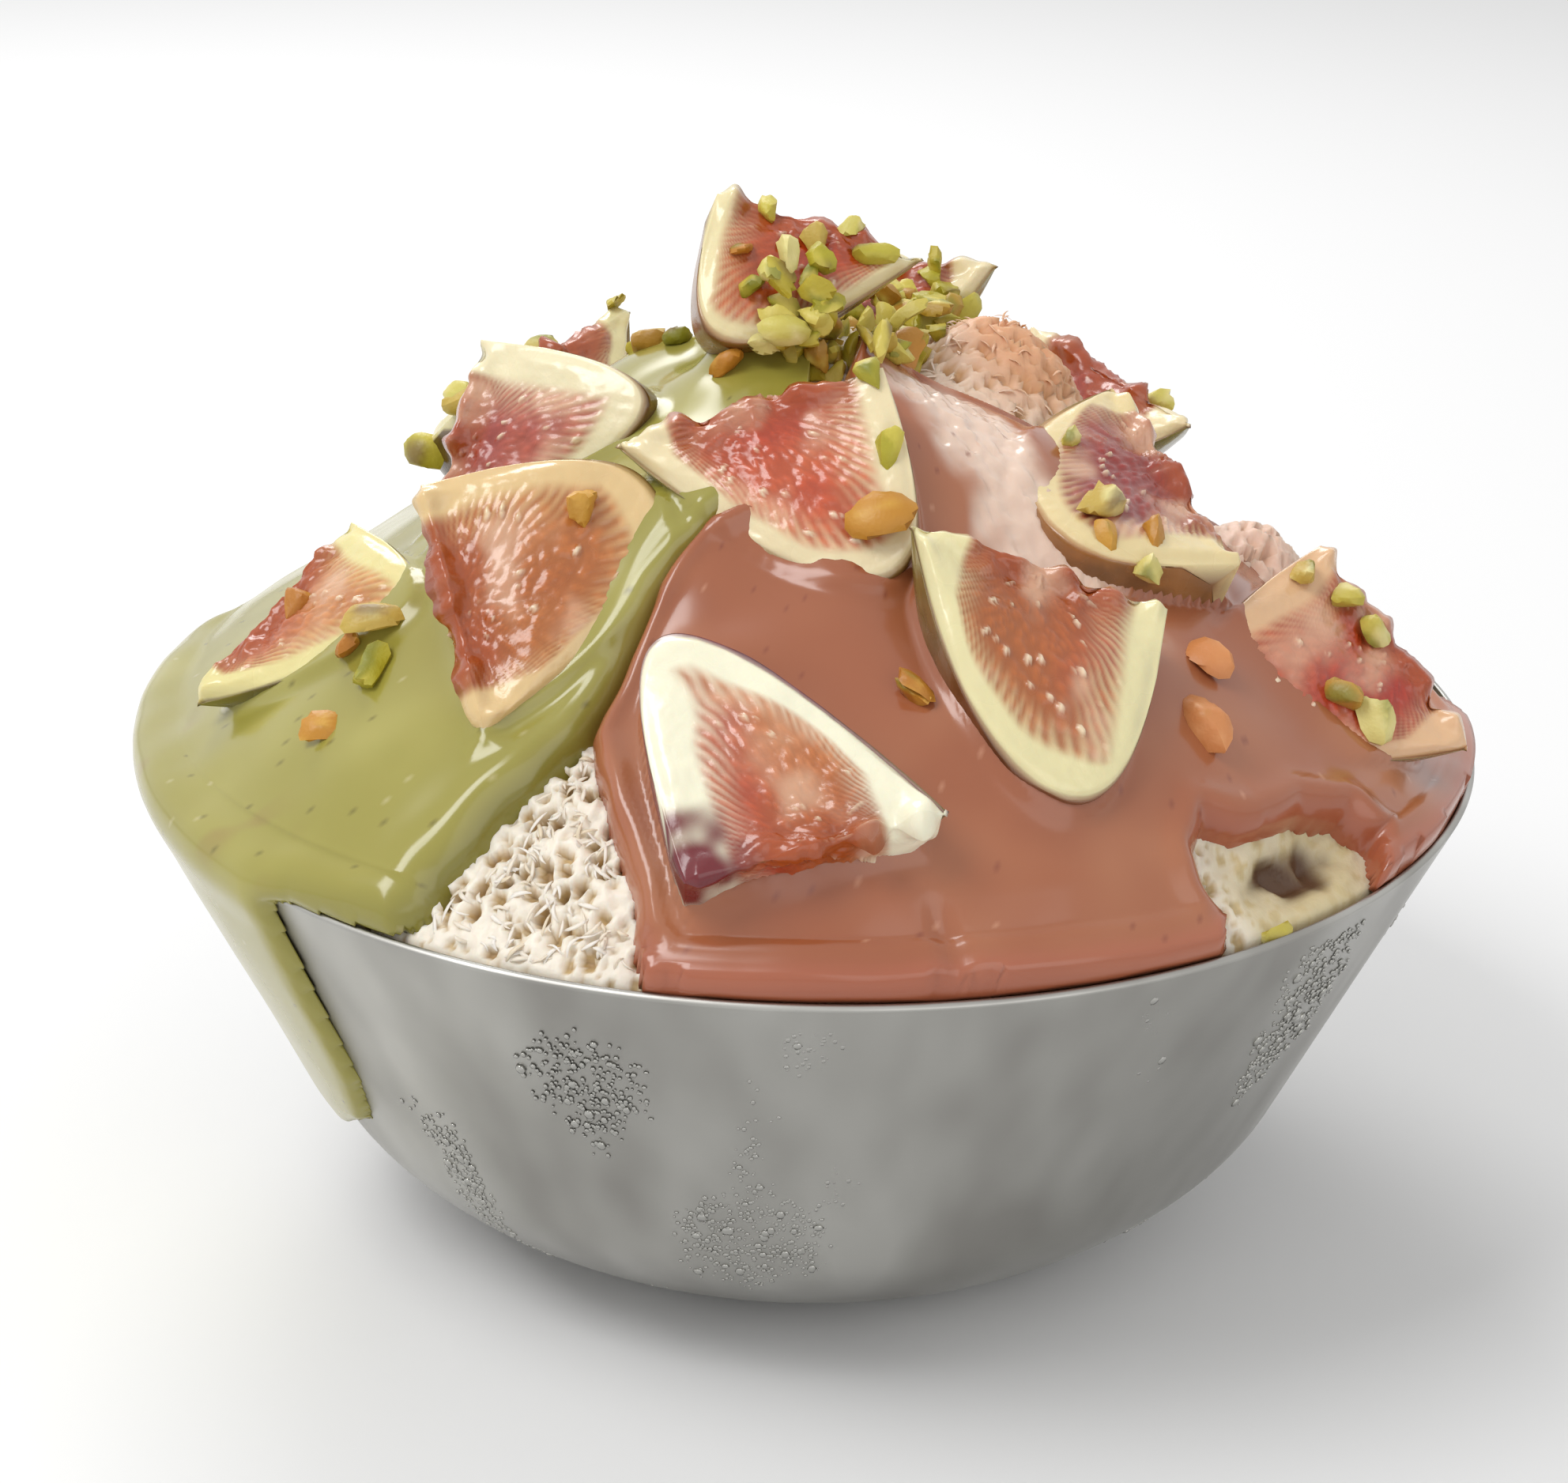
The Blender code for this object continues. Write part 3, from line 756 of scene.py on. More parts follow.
def poured(travel, bearing, depth, lift, under):
    """A cream as a closed sheet from its lift down to under it, kept where it lies inside its edge. Gives the
    grid of its top, its points and faces, and which of the points are used."""
    top = on_path(travel, bearing, lift)
    bottom = on_path(travel, bearing, under)
    shown = depth > -0.9
    keep = shown[:-1, :-1] & shown[:-1, 1:] & shown[1:, 1:] & shown[1:, :-1]
    return top, *closed_sheet(top, bottom, keep)


def make_green_cream(sizes):
    """Pistachio cream: its thickness over the way it runs, a quarter circle at its edge and level farther in.
    Broad clouds make it uneven, it climbs a little at each fig, and it is thin on the outside of the bowl."""
    travel, bearing = cream_grid(-130, -3, 147, 0.62)
    depth = inside(bearing, travel, GREEN_OUTLINE) + 0.5 * cloud(on_path(travel, bearing, 0), 6, 60)
    full = np.interp(travel, [0, 84, 88, 92, 98, 150], [4.4, 4.4, 2.9, 1.2, 0.9, 0.8])
    full = full * (1 - 0.5 * smooth(-55, -80, np.degrees(bearing)) * smooth(30, 55, travel))
    width = np.interp(travel, [0, 84, 93, 100], [4.5, 4.5, 2.6, 2.4])
    base = on_path(travel, bearing, full)
    rise = np.sqrt(1 - (1 - np.clip(depth / width, 0, 1)) ** 2)
    waves = 0.9 * fractal(base * (1, 1, 0.6), 26, 2, 61) + 0.28 * cloud(base, 9, 64)
    on_top = smooth(96, 86, travel)
    climb = 1.3 * near_figs(base, 3.5) ** 2 * on_top
    swell = 1 + 0.1 * np.exp(-(((depth - 3.2) / 2) ** 2)) * on_top
    lift = full * rise * swell + waves * rise * (0.25 + 0.75 * on_top) + climb * rise
    sunk = np.where(travel < 88, -2.2, -1.0)
    lift = np.where(depth < 0, np.maximum(depth * 2.5, sunk), lift)
    under = np.where(travel < 88, -3.2, -1.25)
    top, points, faces, used = poured(travel, bearing, depth, lift, under)

    base_colour, pale, deep = linear("#98903E"), linear("#A8A052"), linear("#6C6826")
    tone = mix(base_colour, pale, smooth(-0.2, 0.8, fractal(top, 18, 3, 66)))
    # Darker towards the cream's edge, where its rounded side turns away from the light: painted shade.
    tone = mix(tone, deep, smooth(2.6, 0.2, depth) * 0.55 * smooth(100, 80, travel))
    streaks = smooth(0.35, 0.75, cloud(top, 5, 70)) * np.exp(-(((travel - 87) / 4.5) ** 2))
    streaks = streaks * smooth(-40, -55, np.degrees(bearing))
    tone = mix(tone, linear("#8E6A3C"), streaks * 0.55)
    spots, _, which = cells(top, 2.6, 71)
    tone = mix(tone, linear("#6A6020"), (spots < 0.13) * (which > 0.55) * 0.75)
    tone = mix(tone, linear("#CFC49A"), (spots < 0.12) * (which < 0.2) * 0.4)
    tint = np.concatenate([tone.reshape(-1, 3)] * 2)[used]
    finish = tinted("pistachio_cream", 0.2, coat=0.25, radius=0.0015, spread=0.05)
    obj = add_mesh("poured_pistachio_cream", points, [faces], finish, tint)
    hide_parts("pistachio_cream")
    return obj


def make_pink_cream(sizes):
    """Fig cream, made as the green one is, with a raised bead along its edge, a lobe, a dip and a fold, and
    paler and rougher along the streak where the ice comes through."""
    travel, bearing = cream_grid(-26, 100, 90.2, 0.62)
    depth = inside(bearing, travel, PINK_OUTLINE) + 0.4 * cloud(on_path(travel, bearing, 0), 5, 80)
    full = np.interp(travel, [0, 80, 86, 90], [4.4, 4.4, 3.2, 1.6])
    full = full * (1 - 0.45 * smooth(60, 80, np.degrees(bearing)))
    base = on_path(travel, bearing, full)
    width = 3.2
    at_rim = smooth(84, 88, travel)
    rise = np.maximum(np.sqrt(1 - (1 - np.clip(depth / width, 0, 1)) ** 2), at_rim * (depth > -0.1))
    waves = 0.9 * fractal(base * (1, 1, 0.6), 24, 2, 81) + 0.3 * cloud(base, 8, 84)
    bead = 0.9 * np.exp(-(((depth - 2.4) / 1.5) ** 2)) * (1 - at_rim)
    climb = 1.3 * near_figs(base, 3.5) ** 2
    lobe = 2.8 * bell(base, (-9, -62, 101), 6)
    dip = -2.6 * bell(base, (-5, -49, 111), 9)
    degrees = np.degrees(bearing)
    off_fold = (degrees - 10.5 - 0.15 * (travel - 84)) / 1.1
    fold = -1.0 * np.exp(-(off_fold**2)) * smooth(78, 84, travel)
    streak_at = np.interp(travel, [20, 33, 44, 55, 64], [45, 40, 36, 38, 40])
    off_streak = np.abs(degrees - streak_at) * math.radians(1) * travel
    streak = smooth(7.5, 3.5, off_streak + 2.0 * cloud(base, 4, 85))
    streak = streak * smooth(14, 20, travel) * smooth(62, 52, travel)
    grain = 0.5 * cloud(base, 1.3, 86) + 0.3 * cloud(base, 0.7, 87) - 0.4
    lift = (full + waves + bead + climb + lobe + dip + fold) * rise + streak * grain
    lift = np.where(depth < 0, np.maximum(depth * 2.5, -2.2), lift)
    under = np.interp(travel, [0, 84, 90], [-3.2, -3.2, -2.4])
    top, points, faces, used = poured(travel, bearing, depth, lift, under)

    tone = mix(linear("#9E5A38"), linear("#B27450"), smooth(-0.3, 0.8, fractal(top, 20, 3, 90)))
    tone = mix(tone, linear("#884628"), smooth(0.1, 0.9, cloud(top * (1, 1, 1.6), 14, 93)) * 0.5)
    tone = mix(tone, linear("#AE6048"), smooth(3.0, 0.3, depth) * 0.5)
    tone = mix(tone, linear("#E6CDBA"), streak * 0.9)
    spots, _, which = cells(top, 2.4, 94)
    tone = mix(tone, linear("#7C3A28"), (spots < 0.13) * (which > 0.6) * 0.6)
    tone = mix(tone, linear("#D6A080"), (spots < 0.12) * (which < 0.25) * 0.4)
    tint = np.concatenate([tone.reshape(-1, 3)] * 2)[used]
    finish = tinted("fig_cream", 0.22, coat=0.25, radius=0.0015, spread=0.05)
    obj = add_mesh("poured_fig_cream", points, [faces], finish, tint)
    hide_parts("fig_cream")
    return obj


# ---------------------------------------------------------------- fig wedges


def make_fig(fig, number, step, finish):
    """One fig wedge: a quarter of a turned fig, its two cut faces and its skin as one closed tube of rings
    along the fig. Each ring runs from the core over the first face, round the skin and back. On the faces the
    flesh is raised in small drops drawn out from the core, with loose seeds, a band of fibres and a smooth
    pith under the skin."""
    seed = 100 + 17 * number
    face_steps = max(int(fig.radius / step), 12)
    skin_steps = max(int(fig.radius * 1.57 / (step * 2.2)), 12)
    rows = int(fig.length / step)
    outwards, back = np.linspace(0, 1, face_steps + 1)[:-1], np.linspace(1, 0, face_steps + 1)[1:-1]
    quarter = np.linspace(0, math.pi / 2, skin_steps + 1)
    share = np.concatenate([outwards, np.ones(skin_steps + 1), back])
    turn = np.concatenate([np.zeros(face_steps), quarter, np.full(face_steps - 1, math.pi / 2)])
    t = (1 - np.cos(np.linspace(0, math.pi, rows + 2)[1:-1])) / 2
    t = 0.35 * t + 0.65 * np.linspace(0, 1, rows + 2)[1:-1]
    t, f = np.meshgrid(t, share, indexing="ij")
    angle = np.broadcast_to(turn, t.shape)
    on_skin = (f >= 1.0) & (angle > 0) & (angle < math.pi / 2)
    x = (t - 0.5) * fig.length
    outline = fig.radius * fig_profile(t, fig.belly)
    lobed = 1 + 0.035 * cloud(np.stack([x, outline * 0 + seed, angle * 9], axis=-1), 11, seed)
    rho = outline * f * lobed
    points = np.stack([x, -rho * np.cos(angle), -rho * np.sin(angle)], axis=-1)
    second = angle > math.pi / 4
    face_normal = np.where(second[..., None], (0.0, 1.0, 0.0), (0.0, 0.0, 1.0))
    skin_normal = np.stack([-0.2 * (t - 0.5), -np.cos(angle), -np.sin(angle)], axis=-1)
    to_skin = outline * (1 - f)
    to_core = outline * f
    at_end = np.minimum(t, 1 - t) * fig.length

    inward = np.where(on_skin, 0, 1.0)
    rim_round = np.exp(-((to_skin / 0.9) ** 2)) * inward
    core_round = np.exp(-((to_core / 2.2) ** 2))
    from_skin = np.minimum(to_skin, at_end * 0.9)
    pith_w = fig.pith_w * (1 + 0.25 * cloud(points, 7, seed + 1)) * (1 + 0.5 * smooth(0.35, 0.0, t))
    inner = smooth(pith_w - 0.9, pith_w + 0.9, from_skin)
    spread = np.arctan2(rho, x + 1e-6) * 15
    local = np.stack([spread, rho * 0.8, second * 40.0], axis=-1)
    jitter = np.stack([cloud(points, 2.5, seed + k) for k in (2, 3, 4)], axis=-1)
    near, _, label = cells(local + 0.35 * jitter, 1.15, seed + 5)
    drops = 1 - smooth(0.05, 0.75, near)
    seeds = (1 - smooth(0.25, 0.5, near)) * (label > 0.93) * inner
    strings = np.sin(spread * 2 * math.pi / 1.05 + 2.2 * cloud(points, 3.5, seed + 6))
    band = smooth(pith_w - 1.2, pith_w + 0.6, from_skin) * smooth(pith_w + 7.0, pith_w + 2.5, from_skin)
    swell = 0.9 * smooth(0, 0.5, f) * smooth(0.98, 0.6, f) + 0.7 * fractal(points, 9, 2, seed + 7)
    torn = 0.8 * fractal(points, 2.6, 3, seed + 8) * (0.35 + 1.4 * smooth(8, 1, to_core))
    relief = (
        inner * (0.3 * drops * (1 - 0.6 * band) + 0.4 * seeds + 0.6 * torn)
        + 0.08 * strings * band
        + swell * smooth(0, 2.5, from_skin)
        + 0.06 * cloud(points, 0.9, seed + 9) * (1 - inner)
    )
    ends = smooth(0, 2.0, at_end)
    core = core_round * (0.8 + 1.6 * cloud(points, 3, seed + 10)) * ends
    relief = relief * ends * inward - 0.55 * rim_round + core
    ribs = np.stack([x * 0.3, angle * 12, t * 0 + seed], axis=-1)
    skin_relief = 0.25 * cloud(ribs, 2.0, seed + 11) + 0.2 * cloud(points, 5, seed + 12)
    on_face, on_rind = face_normal * relief[..., None], skin_normal * skin_relief[..., None]
    points = points + np.where(on_skin[..., None], on_rind, on_face)
    points = points + skin_normal * (-0.35 * rim_round)[..., None]

    heart, flesh, blush = linear(fig.heart), linear(fig.flesh), linear(fig.blush)
    pith, skin = linear(fig.pith), linear(fig.skin)
    hearty = smooth(11, 1.5, to_core) * 0.8 + 0.4 * fractal(points, 6, 2, seed + 13)
    tone = mix(flesh, heart, np.clip(hearty, 0, 1))
    ripe = np.exp(-(((t - fig.blush_at) / 0.24) ** 2)) * fig.blush_on * smooth(0.95, 0.4, f)
    tone = mix(tone, blush, np.clip(ripe * (0.75 + 0.6 * cloud(points, 4.5, seed + 14)), 0, 1))
    # Lighter on the raised drops and darker between them: painted shade in the hollows between the drops.
    tone = tone * (0.86 + 0.26 * drops)[..., None]
    tone = mix(tone, linear("#F2DFC0"), seeds * 0.85)
    fibres = band * (0.34 + 0.26 * strings) * smooth(pith_w + 5.0, pith_w - 0.5, from_skin)
    tone = mix(tone, pith, np.clip(fibres, 0, 1))
    tone = mix(pith * (1 + 0.03 * cloud(points, 2, seed + 15))[..., None], tone, inner)
    browned = smooth(5.0, 0.8, to_core + 1.6 * cloud(points, 3, seed + 19)) * inner
    tone = mix(tone, linear("#A04406"), browned * 0.75)
    film = smooth(0.85 - fig.film, 1.2 - fig.film, 0.5 + 0.5 * fractal(points, 7, 3, seed + 16)) * inner
    tone = mix(tone, linear("#E0B898"), film * 0.65)
    tone = mix(tone, skin * 1.15, smooth(0.75, 0.1, to_skin) * inward * 0.8)
    if fig.name == "fig_front_low":
        tip = smooth(9.5, 3.5, np.hypot(x - fig.length / 2, rho * 0.8) + 2.2 * cloud(points, 2.5, seed + 17))
        tone = mix(tone, linear("#6A0614"), tip)
    mottled = mix(skin, skin * 0.55, smooth(-0.3, 0.6, fractal(points * (0.35, 1, 1), 3.2, 3, seed + 18)))
    mottled = mix(mottled, linear("#8A8A3A"), smooth(0.35, 0.0, t) * 0.55)
    tone = np.where(on_skin[..., None], mottled, tone)

    columns = share.size
    rows = t.shape[0]
    stem = [[-0.5 * fig.length - 0.2, *points[0, :, 1:].mean(axis=0)]]
    blossom = [[0.5 * fig.length + 0.2, *points[-1, :, 1:].mean(axis=0)]]
    every = np.concatenate([points.reshape(-1, 3), stem, blossom])
    colours = np.concatenate([tone.reshape(-1, 3), [skin * 0.8], [skin * 0.6]])
    matrix, place = fig_frame(fig)
    every = every @ matrix.T + place
    faces = rounded_faces(rows, columns)
    name = fig.name.replace("fig_", "wedge_")
    obj = add_mesh(name, every, faces, finish, np.clip(colours, 0, 1))
    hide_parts(fig.name)
    return obj


def make_figs(sizes):
    """Every wedge, with finer steps on the ones in front than on the four behind."""
    front, fine, coarse = 9, 0.34, 0.5
    finish = tinted(
        "fresh_fig", 0.27, scatter=0.15, radius=0.0015, coat=0.35, bump_mm=0.6, bump=0.12, spread=0.1
    )
    return [
        make_fig(fig, number, fine if number < front else coarse, finish)
        for number, fig in enumerate(FIGS)
    ]


# ---------------------------------------------------------------- chopped pistachios

# Where the nuts at the front are sprinkled from, and how far ahead of it their places are given.
HAND = (0.0, -417.0, 237.0)
REACH = 450

# The colours of each kind of nut: 0 mixed, 1 green, 2 pale, 3 toasted and 4 stained by the fig.
NUT_COLOURS = (
    ("#B4A42C", "#8E8A1C", "#D0C05C", "#A67424"),
    ("#A89E24", "#868418", "#C6B848", "#A89E24"),
    ("#C8BC5C", "#B8A840", "#DCD08C", "#B88C38"),
    ("#BE8428", "#AC6A1C", "#CC9A3C", "#A67428"),
    ("#D08850", "#BC7444", "#DCA06C", "#C88450"),
)

# The rings and the corners of each ring that a nut is made of.
NUT_GRID = (9, 14)

# Nuts at the front, as seen from HAND: (across, up, size, kind), and for a heap its spread across, its
# spread up and its count as well.
FRONT_NUTS = (
    (10, 55.5, 4.4, 0, 11, 4.5, 42), (17, 59, 4.4, 0, 6, 3.5, 10), (6, 61, 4.2, 0, 7, 4, 4),
    (7, 51.5, 4.2, 0, 8, 2, 9), (-4, 76, 3.0, 1), (2.7, 74, 4.6, 1), (-2.4, 72.6, 3.6, 1),
    (9.6, 70, 4.8, 2), (0.4, 67.7, 3.6, 2), (4.2, 67.8, 4.0, 2), (-5.7, 67, 3.2, 3),
    (12.3, 65.7, 5.4, 1), (4.2, 64, 4.8, 1), (-0.7, 65, 4.0, 2), (-5, 62, 4.4, 1), (-2.9, 61.6, 4.0, 2),
    (19.8, 64, 4.4, 1), (23.8, 59.2, 4.4, 1), (-1.6, 56.3, 4.6, 2), (-2.3, 52, 4.8, 2),
    (-7.8, 50.8, 5.4, 3), (16.3, 51.8, 5.2, 3), (14.4, 40.6, 5.0, 1), (14.4, 30.7, 6.2, 3),
    (-29.7, 55.4, 6.0, 1), (-20, 54.7, 4.8, 0, 3.4, 1, 4), (-15, 54.8, 5.0, 1), (-48.6, 39.5, 5.2, 1),
    (-27.9, 31.7, 5.2, 3), (-55, 16.1, 6.4, 2), (-59.5, 13, 4.6, 3), (-56.4, 8.9, 5.6, 1),
    (-67.2, 18.7, 4.8, 3), (-63.3, 0.8, 4.8, 3), (17.3, 6.2, 5.2, 3, 1.2, 1, 2), (39.5, 40.9, 3.6, 2),
    (43, 31.3, 5.2, 2), (44.6, 28, 4.2, 3), (50.6, 28.2, 4.4, 3), (49.7, 23.5, 4.0, 2),
    (71.5, 22.5, 5.6, 2), (76.6, 19.8, 4.4, 2), (81.6, 15.7, 5.2, 2), (76.9, 5.9, 4.6, 2),
    (81.3, 2.8, 5.6, 2), (66.7, -27.4, 3.8, 2), (57.5, 2, 6.6, 4), (57.0, 11, 5.6, 4),
)

# Nuts dropped from above behind the crown, as (x, y, spread along x, spread along y, count, size, kind).
BACK_NUTS = (
    (6, 12, 12, 8, 22, 4.6, 0), (-20, 22, 14, 10, 12, 4.6, 0), (30, 24, 14, 10, 10, 4.6, 0),
    (0, 50, 30, 16, 14, 4.6, 0), (-45, 30, 10, 10, 5, 4.6, 2), (50, 34, 10, 10, 5, 4.6, 2),
)


def nut_shape(rng, size):
    """A chip of nut: in each direction the nearest of a handful of random planes, blended so that its edges
    are a little worn, then flattened, and bent about one axis if it is a sliver off the outside."""
    rows, columns = NUT_GRID
    polar = np.linspace(0, math.pi, rows + 2)[1:-1]
    around = np.linspace(0, 2 * math.pi, columns, endpoint=False)
    p, a = np.meshgrid(polar, around, indexing="ij")
    way = np.stack([np.sin(p) * np.cos(a), np.sin(p) * np.sin(a), np.cos(p)], axis=-1).reshape(-1, 3)
    way = np.vstack([way, [0, 0, 1], [0, 0, -1]])
    planes = rng.normal(size=(8, 3))
    planes /= np.linalg.norm(planes, axis=1)[:, None]
    facing = np.clip(way @ planes.T, 0, None) / rng.uniform(0.55, 1.0, 8)
    radius = np.clip(0.85 / (np.sum(facing**36, axis=1) ** (1 / 36) + 0.02), 0.45, 1.25)
    shape = way * radius[:, None]
    kind = rng.random()
    stretch = (1.35, 0.85, 0.45) if kind < 0.4 else (1.1, 0.85, 0.7)
    shape = shape * stretch * (size / 2)
    if kind < 0.4:
        bend = rng.uniform(0.25, 0.6) * 2 / size
        turn = shape[:, 0] * bend
        arm = 1 / bend + shape[:, 2]
        shape = np.column_stack([arm * np.sin(turn), shape[:, 1], arm * np.cos(turn) - 1 / bend])
    shape += 0.12 * np.column_stack([cloud(shape + rng.uniform(0, 90), 1.0, k) for k in (1, 2, 3)])
    return shape


def make_nuts(sizes):
    """Chopped pistachios, sprinkled along straight lines from the front and dropped from above behind. Each
    stops on the first piece in its way, or on an earlier nut, and lies mostly flat there."""
    rng = np.random.default_rng(sizes.seed)
    graph = bpy.context.evaluated_depsgraph_get()
    shown = [obj for obj in bpy.data.objects if obj.type == "MESH" and not obj.hide_render]
    ground = [BVHTree.FromObject(obj, graph) for obj in shown]
    throws = []
    right, up, ahead = (np.array(way) for way in VIEW)
    for across, high, size, kind, *heap in FRONT_NUTS:
        wide, tall, count = heap or (0, 0, 1)
        for _ in range(count):
            u = across + rng.uniform(-1, 1) * wide
            v = high + rng.uniform(-1, 1) * tall
            throws.append((np.array(HAND), ahead * REACH + right * u + up * v, size, kind))
    for x, y, wide, deep, count, size, kind in BACK_NUTS:
        for _ in range(count):
            spot = np.array([x + rng.uniform(-1, 1) * wide, y + rng.uniform(-1, 1) * deep, 220.0])
            throws.append((spot, np.array([0.0, 0.0, -1.0]), size, kind))
    every, colours, lying = [], [], []
    for start, way, size, kind in throws:
        hits = [tree.ray_cast(Vector(start * MM), Vector(way).normalized()) for tree in ground]
        hits = [hit for hit in hits if hit[0] is not None]
        if not hits:
            continue
        hit = min(hits, key=lambda item: item[3])
        normal = hit[1] if hit[1].dot(Vector(way)) < 0 else -hit[1]
        length = size * rng.uniform(0.8, 1.2)
        place = np.array(hit[0]) / MM
        near = [
            was + 0.3 for spot, was, big in lying if np.linalg.norm(spot - place) < 0.4 * (length + big)
        ]
        layer = min(max(near, default=0.0), 0.7)
        lying.append((place, layer, length))
        shape = nut_shape(rng, length)
        tilt = Euler((rng.normal() * 0.45, rng.normal() * 0.45, rng.uniform(0, 6.28))).to_matrix()
        lean = Vector((0, 0, 1)).rotation_difference(normal).to_matrix()
        placed = shape @ np.array(lean @ tilt).T + place + np.array(normal) * length * (0.14 + layer)
        pick = [linear(c) for c in NUT_COLOURS[kind]]
        tone = mix(pick[0], pick[rng.integers(0, 4)], np.full(len(shape), rng.uniform(0.3, 1.0)))
        tone = mix(tone, pick[2], smooth(0.1, 0.7, cloud(shape + rng.uniform(0, 90), 1.8, 5)))
        husk = smooth(0.55, 0.95, shape[:, 2] / (np.abs(shape[:, 2]).max() + 1e-6))
        shell = linear("#6A4A3A" if rng.random() < 0.3 else "#6E7424")
        tone = mix(tone, shell, husk * (rng.random() < 0.55) * 0.7)
        every.append(placed)
        colours.append(tone)
    points = np.concatenate(every)
    shift = np.arange(len(every))[:, None, None] * len(every[0])
    blocks = [(block + shift).reshape(-1, block.shape[1]) for block in rounded_faces(*NUT_GRID)]
    finish = tinted("chopped_pistachio", 0.45, scatter=0.1, radius=0.001, bump_mm=0.5, bump=0.25)
    obj = add_mesh("pistachio_chips", points, blocks, finish, np.concatenate(colours), sharp=40)
    return obj


# ---------------------------------------------------------------- stage


def make_stage(sizes):
    """A plain pale floor, soft studio light, a white surround for the eye and for what mirrors it, and the
    camera at the front, a little above."""
    scene = bpy.context.scene
    scene.view_settings.view_transform = "Standard"
    world = bpy.data.worlds.new("studio")
    world.use_nodes = True
    scene.world = world
    tree = world.node_tree
    tree.nodes.clear()
    rays = node(tree, "ShaderNodeLightPath")
    seen = rays.outputs["Is Camera Ray"]
    for kind in ("Is Glossy Ray", "Is Transmission Ray"):
        either = node(tree, "ShaderNodeMath", {"operation": "MAXIMUM"}, i0=seen, i1=rays.outputs[kind])
        seen = either.outputs[0]
    dim = node(tree, "ShaderNodeBackground", Color=(1, 1, 1, 1), Strength=sizes.fill)
    white = node(tree, "ShaderNodeBackground", Color=(1, 1, 1, 1), Strength=1.0)
    both = node(tree, "ShaderNodeMixShader", i0=seen, i1=dim.outputs[0], i2=white.outputs[0])
    node(tree, "ShaderNodeOutputWorld", Surface=both.outputs[0])

    floor_finish, _, shader = new_material("pale_floor", Roughness=0.9)
    shader.inputs["Base Color"].default_value = (0.86, 0.86, 0.86, 1)
    shader.inputs["Specular IOR Level"].default_value = 0.0
    mesh = bpy.data.meshes.new("floor")
    corners = [(x, y, -0.0005) for x, y in ((-6, -6), (6, -6), (6, 6), (-6, 6))]
    mesh.from_pydata(corners, [], [(0, 1, 2, 3)])
    mesh.materials.append(floor_finish)
    floor = bpy.data.objects.new("floor", mesh)
    scene.collection.objects.link(floor)

    for name, spot, size, watts in (
        ("key", (-0.55, -0.35, 0.95), 0.5, sizes.key),
        ("back", (-0.25, 0.75, 0.8), 0.45, sizes.key * 0.75),
        ("front", (0.5, -0.9, 0.5), 0.8, sizes.key * 0.3),
    ):
        light = bpy.data.lights.new(name, "AREA")
        light.energy, light.size, light.color = watts, size, (1, 1, 1)
        lamp = bpy.data.objects.new(name, light)
        lamp.location = spot
        lamp.rotation_euler = (Vector((0, 0, 0.07)) - Vector(spot)).to_track_quat("-Z", "Y").to_euler()
        scene.collection.objects.link(lamp)

    camera = bpy.data.objects.new("camera", bpy.data.cameras.new("camera"))
    camera.data.sensor_width, camera.data.lens = 36, 75.0
    right, up, ahead = (Vector(way) for way in VIEW)
    turn = Matrix((right, up, -ahead)).transposed().to_quaternion().to_matrix()
    camera.matrix_world = Matrix.Translation((0, -0.4172, 0.2366)) @ turn.to_4x4()
    scene.collection.objects.link(camera)
    scene.camera = camera


# ---------------------------------------------------------------- add-on


class DessertSizes(bpy.types.PropertyGroup):
    """What a user would change."""

    seed: bpy.props.IntProperty(
        name="Nut seed", description="Another number drops the nuts another way", default=3
    )
    key: bpy.props.FloatProperty(
        name="Key light", description="Power of the main soft lamp", default=5.5, unit="POWER"
    )
    fill: bpy.props.FloatProperty(
        name="Fill light", description="Strength of the light from all round", default=0.62
    )


class DESSERT_OT_bowl(bpy.types.Operator):
    """Make the steel bowl and the condensation on it"""

    bl_idname = "dessert.bowl"
    bl_label = "Bowl"

    def execute(self, context):
        make_bowl(context.scene.dessert)
        make_droplets(context.scene.dessert)
        return {"FINISHED"}


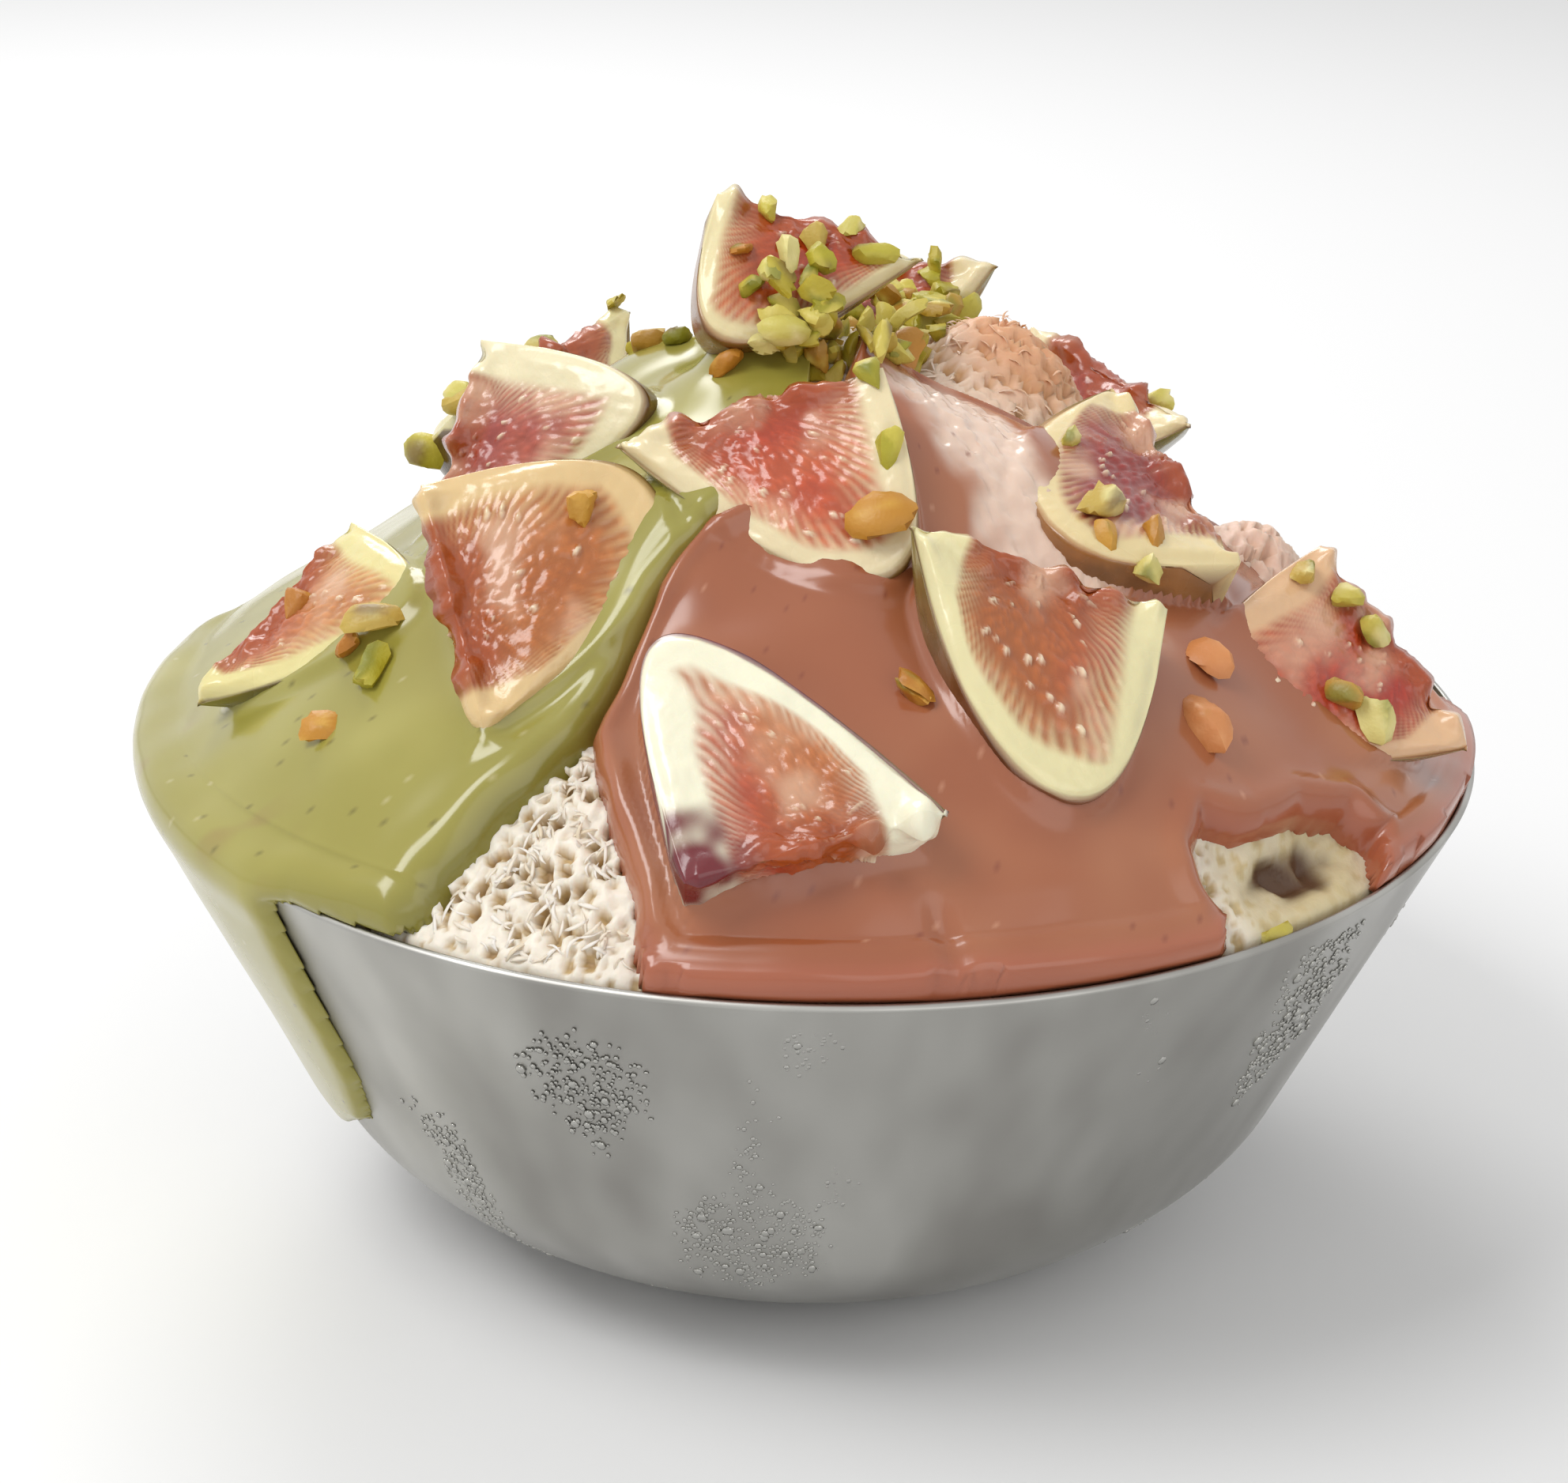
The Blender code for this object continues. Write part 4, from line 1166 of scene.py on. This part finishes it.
class DESSERT_OT_ice(bpy.types.Operator):
    """Make the mound of shaved ice and its loose shavings"""

    bl_idname = "dessert.ice"
    bl_label = "Shaved ice"

    def execute(self, context):
        make_ice(context.scene.dessert)
        make_shavings(context.scene.dessert)
        return {"FINISHED"}


class DESSERT_OT_creams(bpy.types.Operator):
    """Pour the pistachio cream and the fig cream"""

    bl_idname = "dessert.creams"
    bl_label = "Creams"

    def execute(self, context):
        make_green_cream(context.scene.dessert)
        make_pink_cream(context.scene.dessert)
        return {"FINISHED"}


class DESSERT_OT_figs(bpy.types.Operator):
    """Lay the fig wedges"""

    bl_idname = "dessert.figs"
    bl_label = "Fig wedges"

    def execute(self, context):
        make_figs(context.scene.dessert)
        return {"FINISHED"}


class DESSERT_OT_nuts(bpy.types.Operator):
    """Scatter the chopped pistachios"""

    bl_idname = "dessert.nuts"
    bl_label = "Pistachios"

    def execute(self, context):
        make_nuts(context.scene.dessert)
        return {"FINISHED"}


class DESSERT_OT_stage(bpy.types.Operator):
    """Set up the floor, the light and the camera"""

    bl_idname = "dessert.stage"
    bl_label = "Stage"

    def execute(self, context):
        make_stage(context.scene.dessert)
        return {"FINISHED"}


class DESSERT_PT_panel(bpy.types.Panel):
    """Sizes and steps of the dessert"""

    bl_idname = "DESSERT_PT_panel"
    bl_label = "Dessert"
    bl_space_type = "VIEW_3D"
    bl_region_type = "UI"
    bl_category = "Dessert"

    def draw(self, context):
        for field in ("seed", "key", "fill"):
            self.layout.prop(context.scene.dessert, field)
        for step in STEPS:
            self.layout.operator(step.bl_idname)


STEPS = (
    DESSERT_OT_bowl,
    DESSERT_OT_ice,
    DESSERT_OT_creams,
    DESSERT_OT_figs,
    DESSERT_OT_nuts,
    DESSERT_OT_stage,
)
CLASSES = (DessertSizes, *STEPS, DESSERT_PT_panel)


def register():
    for each in CLASSES:
        bpy.utils.register_class(each)
    bpy.types.Scene.dessert = bpy.props.PointerProperty(type=DessertSizes)


def unregister():
    del bpy.types.Scene.dessert
    for each in reversed(CLASSES):
        bpy.utils.unregister_class(each)


def main():
    register()
    for step in STEPS:
        group, name = step.bl_idname.split(".")
        getattr(getattr(bpy.ops, group), name)()


if __name__ == "__main__":
    main()
